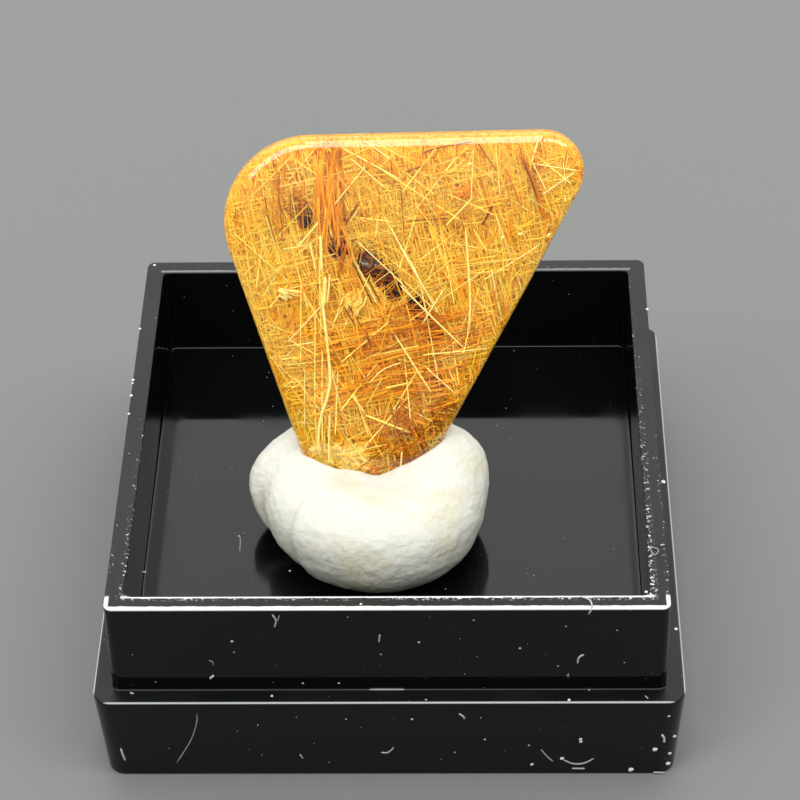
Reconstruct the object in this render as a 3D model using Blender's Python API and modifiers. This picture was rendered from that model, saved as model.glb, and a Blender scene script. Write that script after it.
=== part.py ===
"""Rutilated quartz in a lump of white mounting putty, on its black display-box base.

Metres, +Z up. The origin is the centre of the base's footprint, on the surface it stands on.
The polished face of the stone looks along -Y.
"""

import math

import bmesh
import bpy
import numpy as np
from mathutils import Matrix, Vector

MM = 0.001
GAP = 0.3 * MM  # clearance kept between pieces that touch
SMOOTH_BELOW = math.radians(35)  # faces that meet at less than this are shaded as one curve

# Display-box base: one moulding with a skirt, a ledge for the lid and a raised rim round a tray
SKIRT_BOTTOM_SIDE = 31.3 * MM
SKIRT_TOP_SIDE = 32.05 * MM
SKIRT_CORNER = 1.0 * MM
LEDGE_Z = 6.05 * MM
RIM_SIDE = 30.0 * MM
RIM_CORNER = 0.45 * MM
RIM_Z = 12.1 * MM
WALL = 1.02 * MM
FLOOR_Z = 6.19 * MM
FLOOR_THICKNESS = 1.1 * MM
EDGE_ROUND = 0.1 * MM
EDGE_SEGMENTS = 2
EDGES_FROM = math.radians(50)  # edges at least this sharp are rounded
CORNER_SEGMENTS = 4
OVERLAP = 1.0 * MM  # how far joined blocks and cutters run past each other

# Stone: a polished slab with a rounded triangular outline, leaning back in the putty
LEAN = math.radians(20)
STONE_ANCHOR = Vector((0.0, -1.85, 10.75)) * MM  # middle of the slab where the putty's lip meets it
STONE_CORNERS = (  # across, up the slab, corner radius, in mm, from the anchor
    (-4.2, -1.9, 1.3),
    (1.15, -2.0, 1.4),
    (12.2, 19.35, 2.25),
    (-10.7, 18.95, 4.9),
)
STONE_HEART = np.array((0.2, 9.5)) * MM  # the point that every rib of the slab's surface runs to
STONE_HALF_LOW = 2.3 * MM  # half thickness at the foot
STONE_HALF_HIGH = 1.6 * MM  # half thickness at the top edge
STONE_HEIGHT = 21.3 * MM
THINNING_AT_ANCHOR = 0.1  # share of the thinning that is already done at the anchor's height
THINNING_POWER = 1.5
STONE_EDGE_POWER = 3.0  # 2 gives a lens, more gives flatter faces with rounder edges
STONE_WAVE = 0.05 * MM  # how much hand polishing has waved the faces
WAVE_ACROSS = 0.55  # radians for each mm
WAVE_UP = 0.4
WAVE_PHASE = 1.0
STONE_ARC_POINTS = 24
STONE_RIBS = 76
STONE_RINGS = 24
STONE_CHIPS = (  # flats at the foot of the face: across, towards the viewer, up; outward direction
    ((-1.5, 2.0, 1.0), (-0.25, 0.93, -0.36)),
    ((0.5, 1.75, -0.1), (0.12, 0.72, -0.68)),
)

# Putty: one pressed lump, flat where it sits, with folded lobes
PUTTY_CENTRE = Vector((-0.9, -3.05, 8.85)) * MM
PUTTY_RADII = (5.95, 5.25, 3.2)  # in mm, across, deep and high
PUTTY_POWER = 2.4
PUTTY_COLUMNS = 68
PUTTY_ROWS = 36
PUTTY_LOBES = (  # direction from the centre, height in mm, sharpness
    ((-0.92, 0.22, 0.05), 1.3, 11.0),  # left lobe, folded back
    ((-0.55, 0.5, 0.7), 1.4, 9.0),  # its crest, behind the stone
    ((0.72, 0.27, 0.53), 1.45, 7.0),  # right lobe, curled up beside the stone
    ((0.05, -0.3, 0.95), -0.9, 5.3),  # dip pressed by the stone's foot
    ((0.1, -0.95, -0.25), 0.7, 4.0),  # belly
)
PUTTY_CREASES = (  # upright plane through the centre, depth in mm, width before it and behind it
    ((-0.08, 0.87, -0.48), 0.43, 0.14, 0.05),  # between the left lobe and the body
    ((0.6, -0.73, 0.33), 0.2, 0.25, 0.05),  # edge of the front fold
)
CREASE_START = 0.25  # how far left of the centre the creases begin and are full, of 1
CREASE_FULL = 0.6

# Colours, linear
BLACK = (0.006, 0.006, 0.007)
HONEY = (0.83, 0.42, 0.06)
WHITE = (0.8, 0.79, 0.75)


def clear_scene() -> None:
    """Empty the scene, so that only this part is in it."""
    for leftover in list(bpy.data.objects):
        bpy.data.objects.remove(leftover, do_unlink=True)


def add_collection(name: str, shown: bool) -> bpy.types.Collection:
    """A new collection in the scene, hidden from renders unless shown."""
    made = bpy.data.collections.new(name)
    bpy.context.scene.collection.children.link(made)
    made.hide_render = not shown
    return made


def add_object(name: str, mesh: bmesh.types.BMesh, home: bpy.types.Collection) -> bpy.types.Object:
    """Turn a finished bmesh into an object with smooth shading and crisp creases."""
    data = bpy.data.meshes.new(name)
    mesh.to_mesh(data)
    mesh.free()
    data.shade_smooth()
    data.set_sharp_from_angle(angle=SMOOTH_BELOW)
    made = bpy.data.objects.new(name, data)
    home.objects.link(made)
    return made


def as_cutter(cutter: bpy.types.Object) -> bpy.types.Object:
    """Mark a helper, so that it is drawn as wire and left out of renders."""
    cutter.hide_render = True
    cutter.display_type = "WIRE"
    return cutter


def add_boolean(target: bpy.types.Object, operation: str, tool: bpy.types.Object) -> None:
    """Join or cut the target with the tool."""
    step = target.modifiers.new(f"{operation.lower()} {tool.name}", "BOOLEAN")
    step.operation = operation
    step.solver = "EXACT"
    step.object = tool


def add_material(target: bpy.types.Object, name: str, colour: tuple, **inputs: float) -> None:
    """Give the target its own Principled material."""
    material = bpy.data.materials.new(name)
    material.use_nodes = True
    shader = material.node_tree.nodes["Principled BSDF"]
    shader.inputs["Base Color"].default_value = (*colour, 1.0)
    for socket, value in inputs.items():
        shader.inputs[socket.replace("_", " ")].default_value = value
    target.data.materials.append(material)


def tapered_block(sides: tuple, heights: tuple, corner: float) -> bmesh.types.BMesh:
    """A square block between two heights, with its own side at each, and rounded upright edges."""
    mesh = bmesh.new()
    bmesh.ops.create_cube(mesh, size=2.0)
    for vert in mesh.verts:
        end = int(vert.co.z > 0)
        half = sides[end] / 2
        vert.co = Vector((vert.co.x * half, vert.co.y * half, heights[end]))
    upright = [e for e in mesh.edges if abs(e.verts[0].co.z - e.verts[1].co.z) > OVERLAP / 2]
    bmesh.ops.bevel(mesh, geom=upright, offset=corner, segments=CORNER_SEGMENTS, profile=0.5, affect="EDGES")
    return mesh


def build_tray(parts: bpy.types.Collection, helpers: bpy.types.Collection) -> bpy.types.Object:
    """The box base: skirt and rim joined, with the tray cut from above and the hollow from below."""
    skirt = tapered_block((SKIRT_BOTTOM_SIDE, SKIRT_TOP_SIDE), (0.0, LEDGE_Z), SKIRT_CORNER)
    tray = add_object("tray", skirt, parts)
    rim = tapered_block((RIM_SIDE, RIM_SIDE), (LEDGE_Z - OVERLAP, RIM_Z), RIM_CORNER)
    add_boolean(tray, "UNION", as_cutter(add_object("rim_block", rim, helpers)))
    inner = RIM_SIDE - 2 * WALL
    well = tapered_block((inner, inner), (FLOOR_Z, RIM_Z + OVERLAP), RIM_CORNER)
    add_boolean(tray, "DIFFERENCE", as_cutter(add_object("well_cutter", well, helpers)))
    hollow_sides = (SKIRT_BOTTOM_SIDE - 2 * WALL, SKIRT_TOP_SIDE - 2 * WALL)
    hollow = tapered_block(hollow_sides, (-OVERLAP, FLOOR_Z - FLOOR_THICKNESS), SKIRT_CORNER / 2)
    add_boolean(tray, "DIFFERENCE", as_cutter(add_object("hollow_cutter", hollow, helpers)))
    edges = tray.modifiers.new("moulded edges", "BEVEL")
    edges.width = EDGE_ROUND
    edges.segments = EDGE_SEGMENTS
    edges.limit_method = "ANGLE"
    edges.angle_limit = EDGES_FROM
    add_material(tray, "black polystyrene", BLACK, Roughness=0.12, IOR=1.59)
    return tray


def rounded_outline(corners: tuple, count: int) -> np.ndarray:
    """Points spaced evenly along a polygon whose corners are rounded to their own radii.

    The corners run counter-clockwise, each as (across, up, radius) in mm.
    """
    dense = []
    for index, (across, up, radius) in enumerate(corners):
        here = np.array((across, up))
        before = np.array(corners[index - 1][:2]) - here
        after = np.array(corners[(index + 1) % len(corners)][:2]) - here
        before /= np.linalg.norm(before)
        after /= np.linalg.norm(after)
        half_angle = math.acos(float(before @ after)) / 2
        middle = (before + after) / np.linalg.norm(before + after)
        centre = here + middle * radius / math.sin(half_angle)
        sweep = math.pi / 2 - half_angle
        facing = math.atan2(-middle[1], -middle[0])
        for turn in np.linspace(facing - sweep, facing + sweep, STONE_ARC_POINTS):
            dense.append(centre + radius * np.array((math.cos(turn), math.sin(turn))))
    dense = np.array(dense + dense[:1]) * MM
    walked = np.concatenate(([0.0], np.cumsum(np.linalg.norm(np.diff(dense, axis=0), axis=1))))
    stations = np.linspace(0.0, walked[-1], count, endpoint=False)
    return np.stack([np.interp(stations, walked, dense[:, axis]) for axis in (0, 1)], axis=1)


def half_thickness(up: float) -> float:
    """Half the slab's thickness at this height up it: it thins towards the top edge."""
    share = min(max(up / STONE_HEIGHT + THINNING_AT_ANCHOR, 0.0), 1.0)
    return STONE_HALF_LOW + (STONE_HALF_HIGH - STONE_HALF_LOW) * share**THINNING_POWER


def stone_mesh(grow: float = 0.0) -> bmesh.types.BMesh:
    """The slab, or with grow the same form that much larger all over, to cut its pocket.

    A sphere with its poles on the two faces is drawn out to the outline. Across the slab its
    section is a superellipse, so that the faces are nearly flat and the edges round.
    """
    outline = rounded_outline(STONE_CORNERS, STONE_RIBS)
    mesh = bmesh.new()
    bmesh.ops.create_uvsphere(mesh, u_segments=STONE_RIBS, v_segments=STONE_RINGS, radius=1.0)
    for vert in mesh.verts:
        x, y, z = vert.co
        rib = outline[round(math.atan2(y, x) / math.tau * STONE_RIBS) % STONE_RIBS] - STONE_HEART
        reach = min(math.hypot(x, y), 1.0) ** (2 / STONE_EDGE_POWER)
        spread = rib * (1 + grow / np.linalg.norm(rib)) * reach
        across, up = STONE_HEART + spread
        bulge = math.copysign(min(abs(z), 1.0) ** (2 / STONE_EDGE_POWER), z)
        ripple = math.sin(across / MM * WAVE_ACROSS + WAVE_PHASE) * math.cos(up / MM * WAVE_UP)
        facing = bulge * (half_thickness(up) + grow + STONE_WAVE * ripple)
        vert.co = Vector((across, facing, up))
    if not grow:
        flatten_chips(mesh)
    for vert in mesh.verts:
        vert.co.y = -vert.co.y
    return mesh


def flatten_chips(mesh: bmesh.types.BMesh) -> None:
    """Press whatever stands past each chip's plane back onto that plane."""
    for point, outward in STONE_CHIPS:
        corner = Vector(point) * MM
        direction = Vector(outward).normalized()
        for vert in mesh.verts:
            beyond = (vert.co - corner).dot(direction)
            if beyond > 0:
                vert.co -= direction * beyond


def stone_pose() -> Matrix:
    """Where the slab stands: its anchor, leaned back."""
    return Matrix.Translation(STONE_ANCHOR) @ Matrix.Rotation(-LEAN, 4, "X")


def build_quartz(parts: bpy.types.Collection) -> bpy.types.Object:
    """The polished stone."""
    quartz = add_object("quartz", stone_mesh(), parts)
    quartz.matrix_world = stone_pose()
    look = {"Roughness": 0.05, "IOR": 1.544, "Transmission_Weight": 1.0}
    add_material(quartz, "rutilated quartz", HONEY, **look)
    return quartz


def crease_depth(direction: Vector) -> float:
    """How far the folds on the left pull the putty in, in this direction from its centre."""
    share = (-direction.x - CREASE_START) / (CREASE_FULL - CREASE_START)
    share = min(max(share, 0.0), 1.0)
    pulled = 0.0
    for plane, depth, before, behind in PUTTY_CREASES:
        side = direction.dot(Vector(plane).normalized())
        width = behind if side > 0 else before
        pulled += depth * share * math.exp(-((side / width) ** 2))
    return pulled


def putty_mesh() -> bmesh.types.BMesh:
    """A squashed ball with lobes and creases, pressed flat where it meets the tray."""
    mesh = bmesh.new()
    bmesh.ops.create_uvsphere(mesh, u_segments=PUTTY_COLUMNS, v_segments=PUTTY_ROWS, radius=1.0)
    rest = FLOOR_Z + GAP
    for vert in mesh.verts:
        direction = vert.co.normalized()
        shares = (abs(part) / radius for part, radius in zip(direction, PUTTY_RADII))
        reach = sum(share**PUTTY_POWER for share in shares) ** (-1 / PUTTY_POWER)
        for towards, height, sharpness in PUTTY_LOBES:
            reach += height * math.exp(sharpness * (direction.dot(Vector(towards).normalized()) - 1))
        reach -= crease_depth(direction)
        vert.co = PUTTY_CENTRE + direction * reach * MM
        if vert.co.z < rest:
            vert.co.z = rest
    return mesh


def build_putty(parts: bpy.types.Collection, helpers: bpy.types.Collection) -> bpy.types.Object:
    """The putty, with the pocket that the stone's foot has pressed in it."""
    putty = add_object("putty", putty_mesh(), parts)
    pocket = as_cutter(add_object("pocket_cutter", stone_mesh(GAP), helpers))
    pocket.matrix_world = stone_pose()
    add_boolean(putty, "DIFFERENCE", pocket)
    add_material(putty, "white putty", WHITE, Roughness=0.55)
    return putty


def main() -> None:
    """Build the part."""
    clear_scene()
    parts = add_collection("rutilated quartz on its stand", shown=True)
    helpers = add_collection("cutters", shown=False)
    build_tray(parts, helpers)
    build_putty(parts, helpers)
    build_quartz(parts)


main()
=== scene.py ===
"""Rutilated quartz leaning in white putty on its black display-box base.

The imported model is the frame, and the pieces below stand in for its solids: metres, +Z up,
with the origin in the middle of the base's footprint. The stone is worked out in its own
space, whose axes are across the slab, away from the viewer and up the slab, and is leaned
back only when a mesh is finished.
"""

from __future__ import annotations

import logging
import math
from dataclasses import dataclass, field
from enum import Enum
from functools import partial

import bmesh
import bpy
import numpy as np
from mathutils import Matrix, Vector, noise


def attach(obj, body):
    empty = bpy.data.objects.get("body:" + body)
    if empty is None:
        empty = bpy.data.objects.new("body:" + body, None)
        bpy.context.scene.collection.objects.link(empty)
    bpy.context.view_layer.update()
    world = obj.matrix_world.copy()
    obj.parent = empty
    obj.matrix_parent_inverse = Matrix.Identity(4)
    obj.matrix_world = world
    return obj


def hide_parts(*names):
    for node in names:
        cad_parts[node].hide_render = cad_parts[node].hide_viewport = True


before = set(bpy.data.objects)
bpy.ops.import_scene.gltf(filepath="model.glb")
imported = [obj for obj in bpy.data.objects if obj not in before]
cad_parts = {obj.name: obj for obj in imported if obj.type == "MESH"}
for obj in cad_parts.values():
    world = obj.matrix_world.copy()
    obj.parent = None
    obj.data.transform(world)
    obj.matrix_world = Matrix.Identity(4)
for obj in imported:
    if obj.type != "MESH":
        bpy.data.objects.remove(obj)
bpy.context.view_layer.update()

LOG = logging.getLogger("specimen")
MM = 0.001

MATH = "ShaderNodeMath"
VECTOR_MATH = "ShaderNodeVectorMath"
MAP_RANGE = "ShaderNodeMapRange"
NOISE = "ShaderNodeTexNoise"
RAMP = "ShaderNodeValToRGB"
SPLIT = "ShaderNodeSeparateXYZ"
RANDOM = "FunctionNodeRandomValue"
ALIGN = "FunctionNodeAlignRotationToVector"
ATTRIBUTE = "GeometryNodeInputNamedAttribute"
OBJECT_INFO = "GeometryNodeObjectInfo"
RAYCAST = "GeometryNodeRaycast"
STORE = "GeometryNodeStoreNamedAttribute"

USUAL_NOISE = (0.3, 0.7)  # nearly all of a noise texture lies between these
THREAD_SIDES = 6
THREAD_POINTS = 12  # along each thread
THREAD_TAPER = 0.9  # how far from its middle a thread starts to thin, of 1
THREAD_TIP = 0.25  # the share of its width that a thread keeps at its ends


def linear(code: str) -> tuple[float, float, float, float]:
    """Turn an sRGB hex colour into linear RGBA.

    Args:
        code: the colour, as #RRGGBB.

    Returns:
        Four linear channels, with alpha 1.
    """
    shares = [int(code[start : start + 2], 16) / 255 for start in (1, 3, 5)]
    curved = [share / 12.92 if share <= 0.04045 else ((share + 0.055) / 1.055) ** 2.4 for share in shares]
    return (*curved, 1.0)


def add_node(
    tree: bpy.types.NodeTree, kind: str, feeds: dict | list | None = None, **settings: object
) -> bpy.types.Node:
    """Add a node with its settings, then fill or link its inputs.

    Args:
        tree: the node tree that gets the node.
        kind: the node's type name.
        feeds: for each input, by name or index or else in order, a plain value, the output that
            feeds it, or a node whose first output does.
        **settings: the node's own properties.

    Returns:
        The new node.
    """
    node = tree.nodes.new(kind)
    for name, value in settings.items():
        setattr(node, name, value)
    for key, value in feeds.items() if isinstance(feeds, dict) else enumerate(feeds or ()):
        if isinstance(value, bpy.types.Node):
            value = value.outputs[0]
        if isinstance(value, bpy.types.NodeSocket):
            tree.links.new(value, node.inputs[key])
        else:
            node.inputs[key].default_value = value
    return node


def set_stops(ramp: bpy.types.Node, stops: list[tuple[float, str]]) -> None:
    """Give a colour ramp its stops.

    Args:
        ramp: the Color Ramp node.
        stops: position and sRGB hex colour, in rising order.
    """
    elements = ramp.color_ramp.elements
    while len(elements) < len(stops):
        elements.new(1.0)
    for element, (position, code) in zip(elements, stops):
        element.position = position
        element.color = linear(code)


def start_material(name: str, colour: str, **constants: object) -> tuple[bpy.types.Material, bpy.types.Node]:
    """Start a material from a Principled BSDF.

    Args:
        name: the real material's name.
        colour: the base colour, as sRGB hex.
        **constants: the shader's other sockets, with _ for each space.

    Returns:
        The material and its Principled node.
    """
    material = bpy.data.materials.new(name)
    material.use_nodes = True
    shader = material.node_tree.nodes["Principled BSDF"]
    shader.inputs["Base Color"].default_value = linear(colour)
    for socket, value in constants.items():
        shader.inputs[socket.replace("_", " ")].default_value = value
    return material, shader


def per_mm(size: float) -> float:
    """Texture scale whose features measure this many millimetres."""
    return 1 / (size * MM)


def finished(mesh: bmesh.types.BMesh, name: str) -> bpy.types.Mesh:
    """Turn a working mesh into an object's mesh.

    Args:
        mesh: the working mesh, which is freed.
        name: the new mesh's name.

    Returns:
        The new mesh.
    """
    data = bpy.data.meshes.new(name)
    mesh.to_mesh(data)
    mesh.free()
    return data


def loft(name: str, rings: np.ndarray, start: Vector, end: Vector) -> bpy.types.Mesh:
    """Close a stack of rings into one skin, with a fan of faces at each end.

    Args:
        name: the mesh's name.
        rings: the points, as ring, place round the ring, and axis.
        start: the point in the middle of the first ring's cap.
        end: the point in the middle of the last ring's cap.

    Returns:
        A closed, smooth-shaded mesh whose faces point out.
    """
    count = rings.shape[1]
    mesh = bmesh.new()
    rows = [[mesh.verts.new(point) for point in ring] for ring in rings]
    for lower, upper in zip(rows, rows[1:]):
        for here in range(count):
            after = (here + 1) % count
            mesh.faces.new((lower[here], lower[after], upper[after], upper[here]))
    for row, tip in ((rows[0], start), (rows[-1], end)):
        pole = mesh.verts.new(tip)
        for here in range(count):
            mesh.faces.new((row[here], row[(here + 1) % count], pole))
    bmesh.ops.recalc_face_normals(mesh, faces=mesh.faces)
    data = finished(mesh, name)
    data.shade_smooth()
    return data


def place(name: str, mesh: bpy.types.Mesh) -> bpy.types.Object:
    """Put a mesh in the scene as an object at the origin.

    Args:
        name: the object's name.
        mesh: its mesh.

    Returns:
        The object.
    """
    made = bpy.data.objects.new(name, mesh)
    bpy.context.scene.collection.objects.link(made)
    return made


def discard(*helpers: bpy.types.Object) -> None:
    """Delete helper objects and their meshes.

    Args:
        *helpers: the objects.
    """
    for helper in helpers:
        spare = helper.data
        bpy.data.objects.remove(helper)
        bpy.data.meshes.remove(spare)


def bake_modifiers(piece: bpy.types.Object) -> None:
    """Replace an object's mesh by what its modifiers make of it, and remove them.

    Args:
        piece: the object.
    """
    graph = bpy.context.evaluated_depsgraph_get()
    result = bpy.data.meshes.new_from_object(piece.evaluated_get(graph), depsgraph=graph)
    piece.modifiers.clear()
    spare = piece.data
    piece.data = result
    bpy.data.meshes.remove(spare)


def run_tree(piece: bpy.types.Object, tree: bpy.types.NodeTree, values: dict[str, object]) -> None:
    """Run a Geometry Nodes tree on an object and keep the result as its plain mesh.

    Args:
        piece: the object that carries the tree's input geometry.
        tree: the tree.
        values: the tree's named inputs.
    """
    step = piece.modifiers.new(tree.name, "NODES")
    step.node_group = tree
    for item in tree.interface.items_tree:
        if item.in_out == "INPUT" and item.name in values:
            step[item.identifier] = values[item.name]
    bake_modifiers(piece)


def add_inputs(tree: bpy.types.NodeTree, kinds: dict[str, str]) -> bpy.types.Node:
    """Give a tree its named inputs and its one geometry output.

    Args:
        tree: the tree.
        kinds: each input's name and the last part of its socket type.

    Returns:
        The Group Input node.
    """
    for name, kind in kinds.items():
        tree.interface.new_socket(name, in_out="INPUT", socket_type="NodeSocket" + kind)
    tree.interface.new_socket("Geometry", in_out="OUTPUT", socket_type="NodeSocketGeometry")
    return add_node(tree, "NodeGroupInput")


def end_tree(
    tree: bpy.types.NodeTree, made: bpy.types.Node, material: bpy.types.NodeSocket, spare: tuple[str, ...] = ()
) -> None:
    """Finish a Geometry Nodes tree: instances made real, then dressed.

    Args:
        tree: the tree.
        made: the node that gives the tree's geometry.
        material: the output that gives the material.
        spare: attributes that are no longer needed.
    """
    made = add_node(tree, "GeometryNodeRealizeInstances", [made])
    for name in spare:
        made = add_node(tree, "GeometryNodeRemoveAttribute", {"Geometry": made, "Name": name})
    made = add_node(tree, "GeometryNodeSetMaterial", {0: made, "Material": material})
    add_node(tree, "NodeGroupOutput", [made])


def square_reach(tree: bpy.types.NodeTree, parts: bpy.types.bpy_prop_collection) -> bpy.types.Node:
    """Measure how far a point is from the middle of the square base, across its nearest side.

    Args:
        tree: the tree that gets the nodes.
        parts: the point's X, Y and Z outputs.

    Returns:
        The node that gives the distance.
    """
    sides = [add_node(tree, MATH, [parts[axis]], operation="ABSOLUTE") for axis in "XY"]
    return add_node(tree, MATH, sides, operation="MAXIMUM")


def thread_tree() -> bpy.types.NodeTree:
    """Turn lines with a width at each point into smooth threads with thin ends.

    Returns:
        The tree, whose geometry input is the lines.
    """
    tree = bpy.data.node_groups.new("threads", "GeometryNodeTree")
    add = partial(add_node, tree)
    given = add_inputs(tree, {"Geometry": "Geometry", "Sides": "Int", "Material": "Material"}).outputs
    line = add("GeometryNodeMeshToCurve", [given["Geometry"]])
    line = add("GeometryNodeCurveSplineType", [line], spline_type="CATMULL_ROM")
    share = add("GeometryNodeSplineParameter").outputs["Factor"]
    ends = add(MATH, [share, 2.0, -1.0], operation="MULTIPLY_ADD")
    away = add(MATH, [ends], operation="ABSOLUTE")
    taper = add(MAP_RANGE, [away, THREAD_TAPER, 1.0, 1.0, THREAD_TIP])
    width = add(ATTRIBUTE, {"Name": "width"})
    radius = add(MATH, [width, taper], operation="MULTIPLY")
    line = add("GeometryNodeResampleCurve", {"Curve": line, "Count": THREAD_POINTS})
    ring = add("GeometryNodeCurvePrimitiveCircle", {"Resolution": given["Sides"], "Radius": 0.5})
    feeds = {"Curve": line, "Profile Curve": ring, "Scale": radius, "Fill Caps": True}
    end_tree(tree, add("GeometryNodeCurveToMesh", feeds), given["Material"])
    return tree


def thread_lines(name: str, lines: list[tuple[list[Vector], float, float]]) -> bpy.types.Mesh:
    """Make lines with a width and a tint at each point.

    Args:
        name: the mesh's name.
        lines: for each line its points, its width in metres and its tint.

    Returns:
        The mesh of edges.
    """
    points, edges, widths, tints = [], [], [], []
    for spots, width, tint in lines:
        edges += [(len(points) + step, len(points) + step + 1) for step in range(len(spots) - 1)]
        points += spots
        widths += [width] * len(spots)
        tints += [tint] * len(spots)
    data = bpy.data.meshes.new(name)
    data.from_pydata(points, edges, [])
    for label, values in (("width", widths), ("tint", tints)):
        data.attributes.new(label, "FLOAT", "POINT").data.foreach_set("value", values)
    return data


class Tone(Enum):
    """Colours of rutile, as a range on the needles' colour ramp, from thick and dark to hair-fine."""

    INK = (0.0, 0.07)
    BROWN = (0.08, 0.2)
    RUST = (0.2, 0.32)
    FLAME = (0.3, 0.42)
    HONEY = (0.46, 0.66)
    GOLD = (0.6, 0.84)
    STRAW = (0.86, 1.0)


@dataclass(frozen=True)
class PolishedQuartz:
    """Natural quartz ground and polished by hand: clear, with a faint honey cast from its iron."""

    ior: float = 1.544
    roughness: float = 0.02
    cast: str = "#FFF0A8"
    cast_density: float = 115.0

    def material(self) -> bpy.types.Material:
        """Glass that lets the light in to its inclusions, over a honey-coloured volume.

        Returns:
            The material.
        """
        constants = {"IOR": self.ior, "Roughness": self.roughness, "Transmission_Weight": 1.0}
        material, shader = start_material("polished quartz", "#FFFFFF", **constants)
        tree = material.node_tree
        output = tree.nodes["Material Output"]
        path = add_node(tree, "ShaderNodeLightPath").outputs
        clear = add_node(tree, "ShaderNodeBsdfTransparent")
        passing = add_node(tree, MATH, [path["Is Shadow Ray"], path["Is Diffuse Ray"]], operation="MAXIMUM")
        mixed = add_node(tree, "ShaderNodeMixShader", [passing, shader, clear])
        body = {"Color": linear(self.cast), "Density": self.cast_density}
        cast = add_node(tree, "ShaderNodeVolumeAbsorption", body)
        tree.links.new(mixed.outputs[0], output.inputs["Surface"])
        tree.links.new(cast.outputs[0], output.inputs["Volume"])
        return material


@dataclass(frozen=True)
class Rutile:
    """Rutile grown as needles: straw and gold where hair-fine, red-brown where thick, with a resinous shine.

    Its IOR is kept low, because a strong shine on thousands of blades would whiten the whole stone.
    """

    ior: float = 1.3
    roughness: float = 0.4
    patch: float = 2.6  # mm, how wide a patch of slightly other colour is
    drift: float = 0.06  # how far along the stops a patch goes, at most
    stops: tuple[tuple[float, str], ...] = (
        (0.0, "#3A1A06"), (0.1, "#7E3C08"), (0.22, "#C46A0C"), (0.34, "#F79C16"),
        (0.46, "#FFCC36"), (0.6, "#FFDB4E"), (0.8, "#FFE472"), (1.0, "#FFEC96"),
    )

    def material(self) -> bpy.types.Material:
        """Colour by each needle's own tint, shifted a little from patch to patch of the stone.

        Returns:
            The material.
        """
        material, shader = start_material("rutile needles", "#F7AE33", IOR=self.ior, Roughness=self.roughness)
        tree = material.node_tree
        tint = add_node(tree, "ShaderNodeAttribute", attribute_name="tint").outputs["Fac"]
        spot = add_node(tree, "ShaderNodeTexCoord").outputs["Object"]
        cloud = add_node(tree, NOISE, {"Vector": spot, "Scale": per_mm(self.patch), "Detail": 1.0})
        shift = add_node(tree, MAP_RANGE, [cloud, *USUAL_NOISE, -self.drift, self.drift])
        place_on_ramp = add_node(tree, MATH, [tint, shift], operation="ADD", use_clamp=True)
        ramp = add_node(tree, RAMP, [place_on_ramp])
        set_stops(ramp, list(self.stops))
        tree.links.new(ramp.outputs[0], shader.inputs["Base Color"])
        return material


@dataclass(frozen=True)
class MountingPutty:
    """White mounting putty pressed by hand: matt, slightly waxy, with finger dents and faint stains."""

    colour: str = "#C2C2B7"
    stain: str = "#BCB79F"
    stain_edge: tuple[float, float] = (0.3, 0.48)  # where in the noise a stain is full, and where it ends
    stain_size: float = 3.0  # mm
    ior: float = 1.45
    roughness: float = 0.62
    waxiness: float = 0.35
    depth: float = 0.8  # mm, how far light goes in
    depth_by_colour: tuple[float, float, float] = (1.0, 0.9, 0.75)
    grain: float = 0.4  # mm, drawn coarser than it is, so that it shows
    grain_height: float = 0.12  # mm
    grain_strength: float = 0.8

    def material(self) -> bpy.types.Material:
        """Off-white with soft yellowish stains and a fine grain.

        Returns:
            The material.
        """
        constants = {
            "Roughness": self.roughness, "IOR": self.ior, "Subsurface_Weight": self.waxiness,
            "Subsurface_Scale": self.depth * MM, "Subsurface_Radius": self.depth_by_colour,
        }
        material, shader = start_material("white mounting putty", self.colour, **constants)
        tree = material.node_tree
        spot = add_node(tree, "ShaderNodeTexCoord").outputs["Object"]
        cloud = add_node(tree, NOISE, {"Vector": spot, "Scale": per_mm(self.stain_size), "Detail": 3.0})
        ramp = add_node(tree, RAMP, [cloud])
        set_stops(ramp, list(zip(self.stain_edge, (self.stain, self.colour))))
        tree.links.new(ramp.outputs[0], shader.inputs["Base Color"])
        speck = add_node(tree, NOISE, {"Vector": spot, "Scale": per_mm(self.grain), "Detail": 4.0})
        feeds = {"Height": speck, "Distance": self.grain_height * MM, "Strength": self.grain_strength}
        bump = add_node(tree, "ShaderNodeBump", feeds)
        tree.links.new(bump.outputs[0], shader.inputs["Normal"])
        return material


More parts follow.
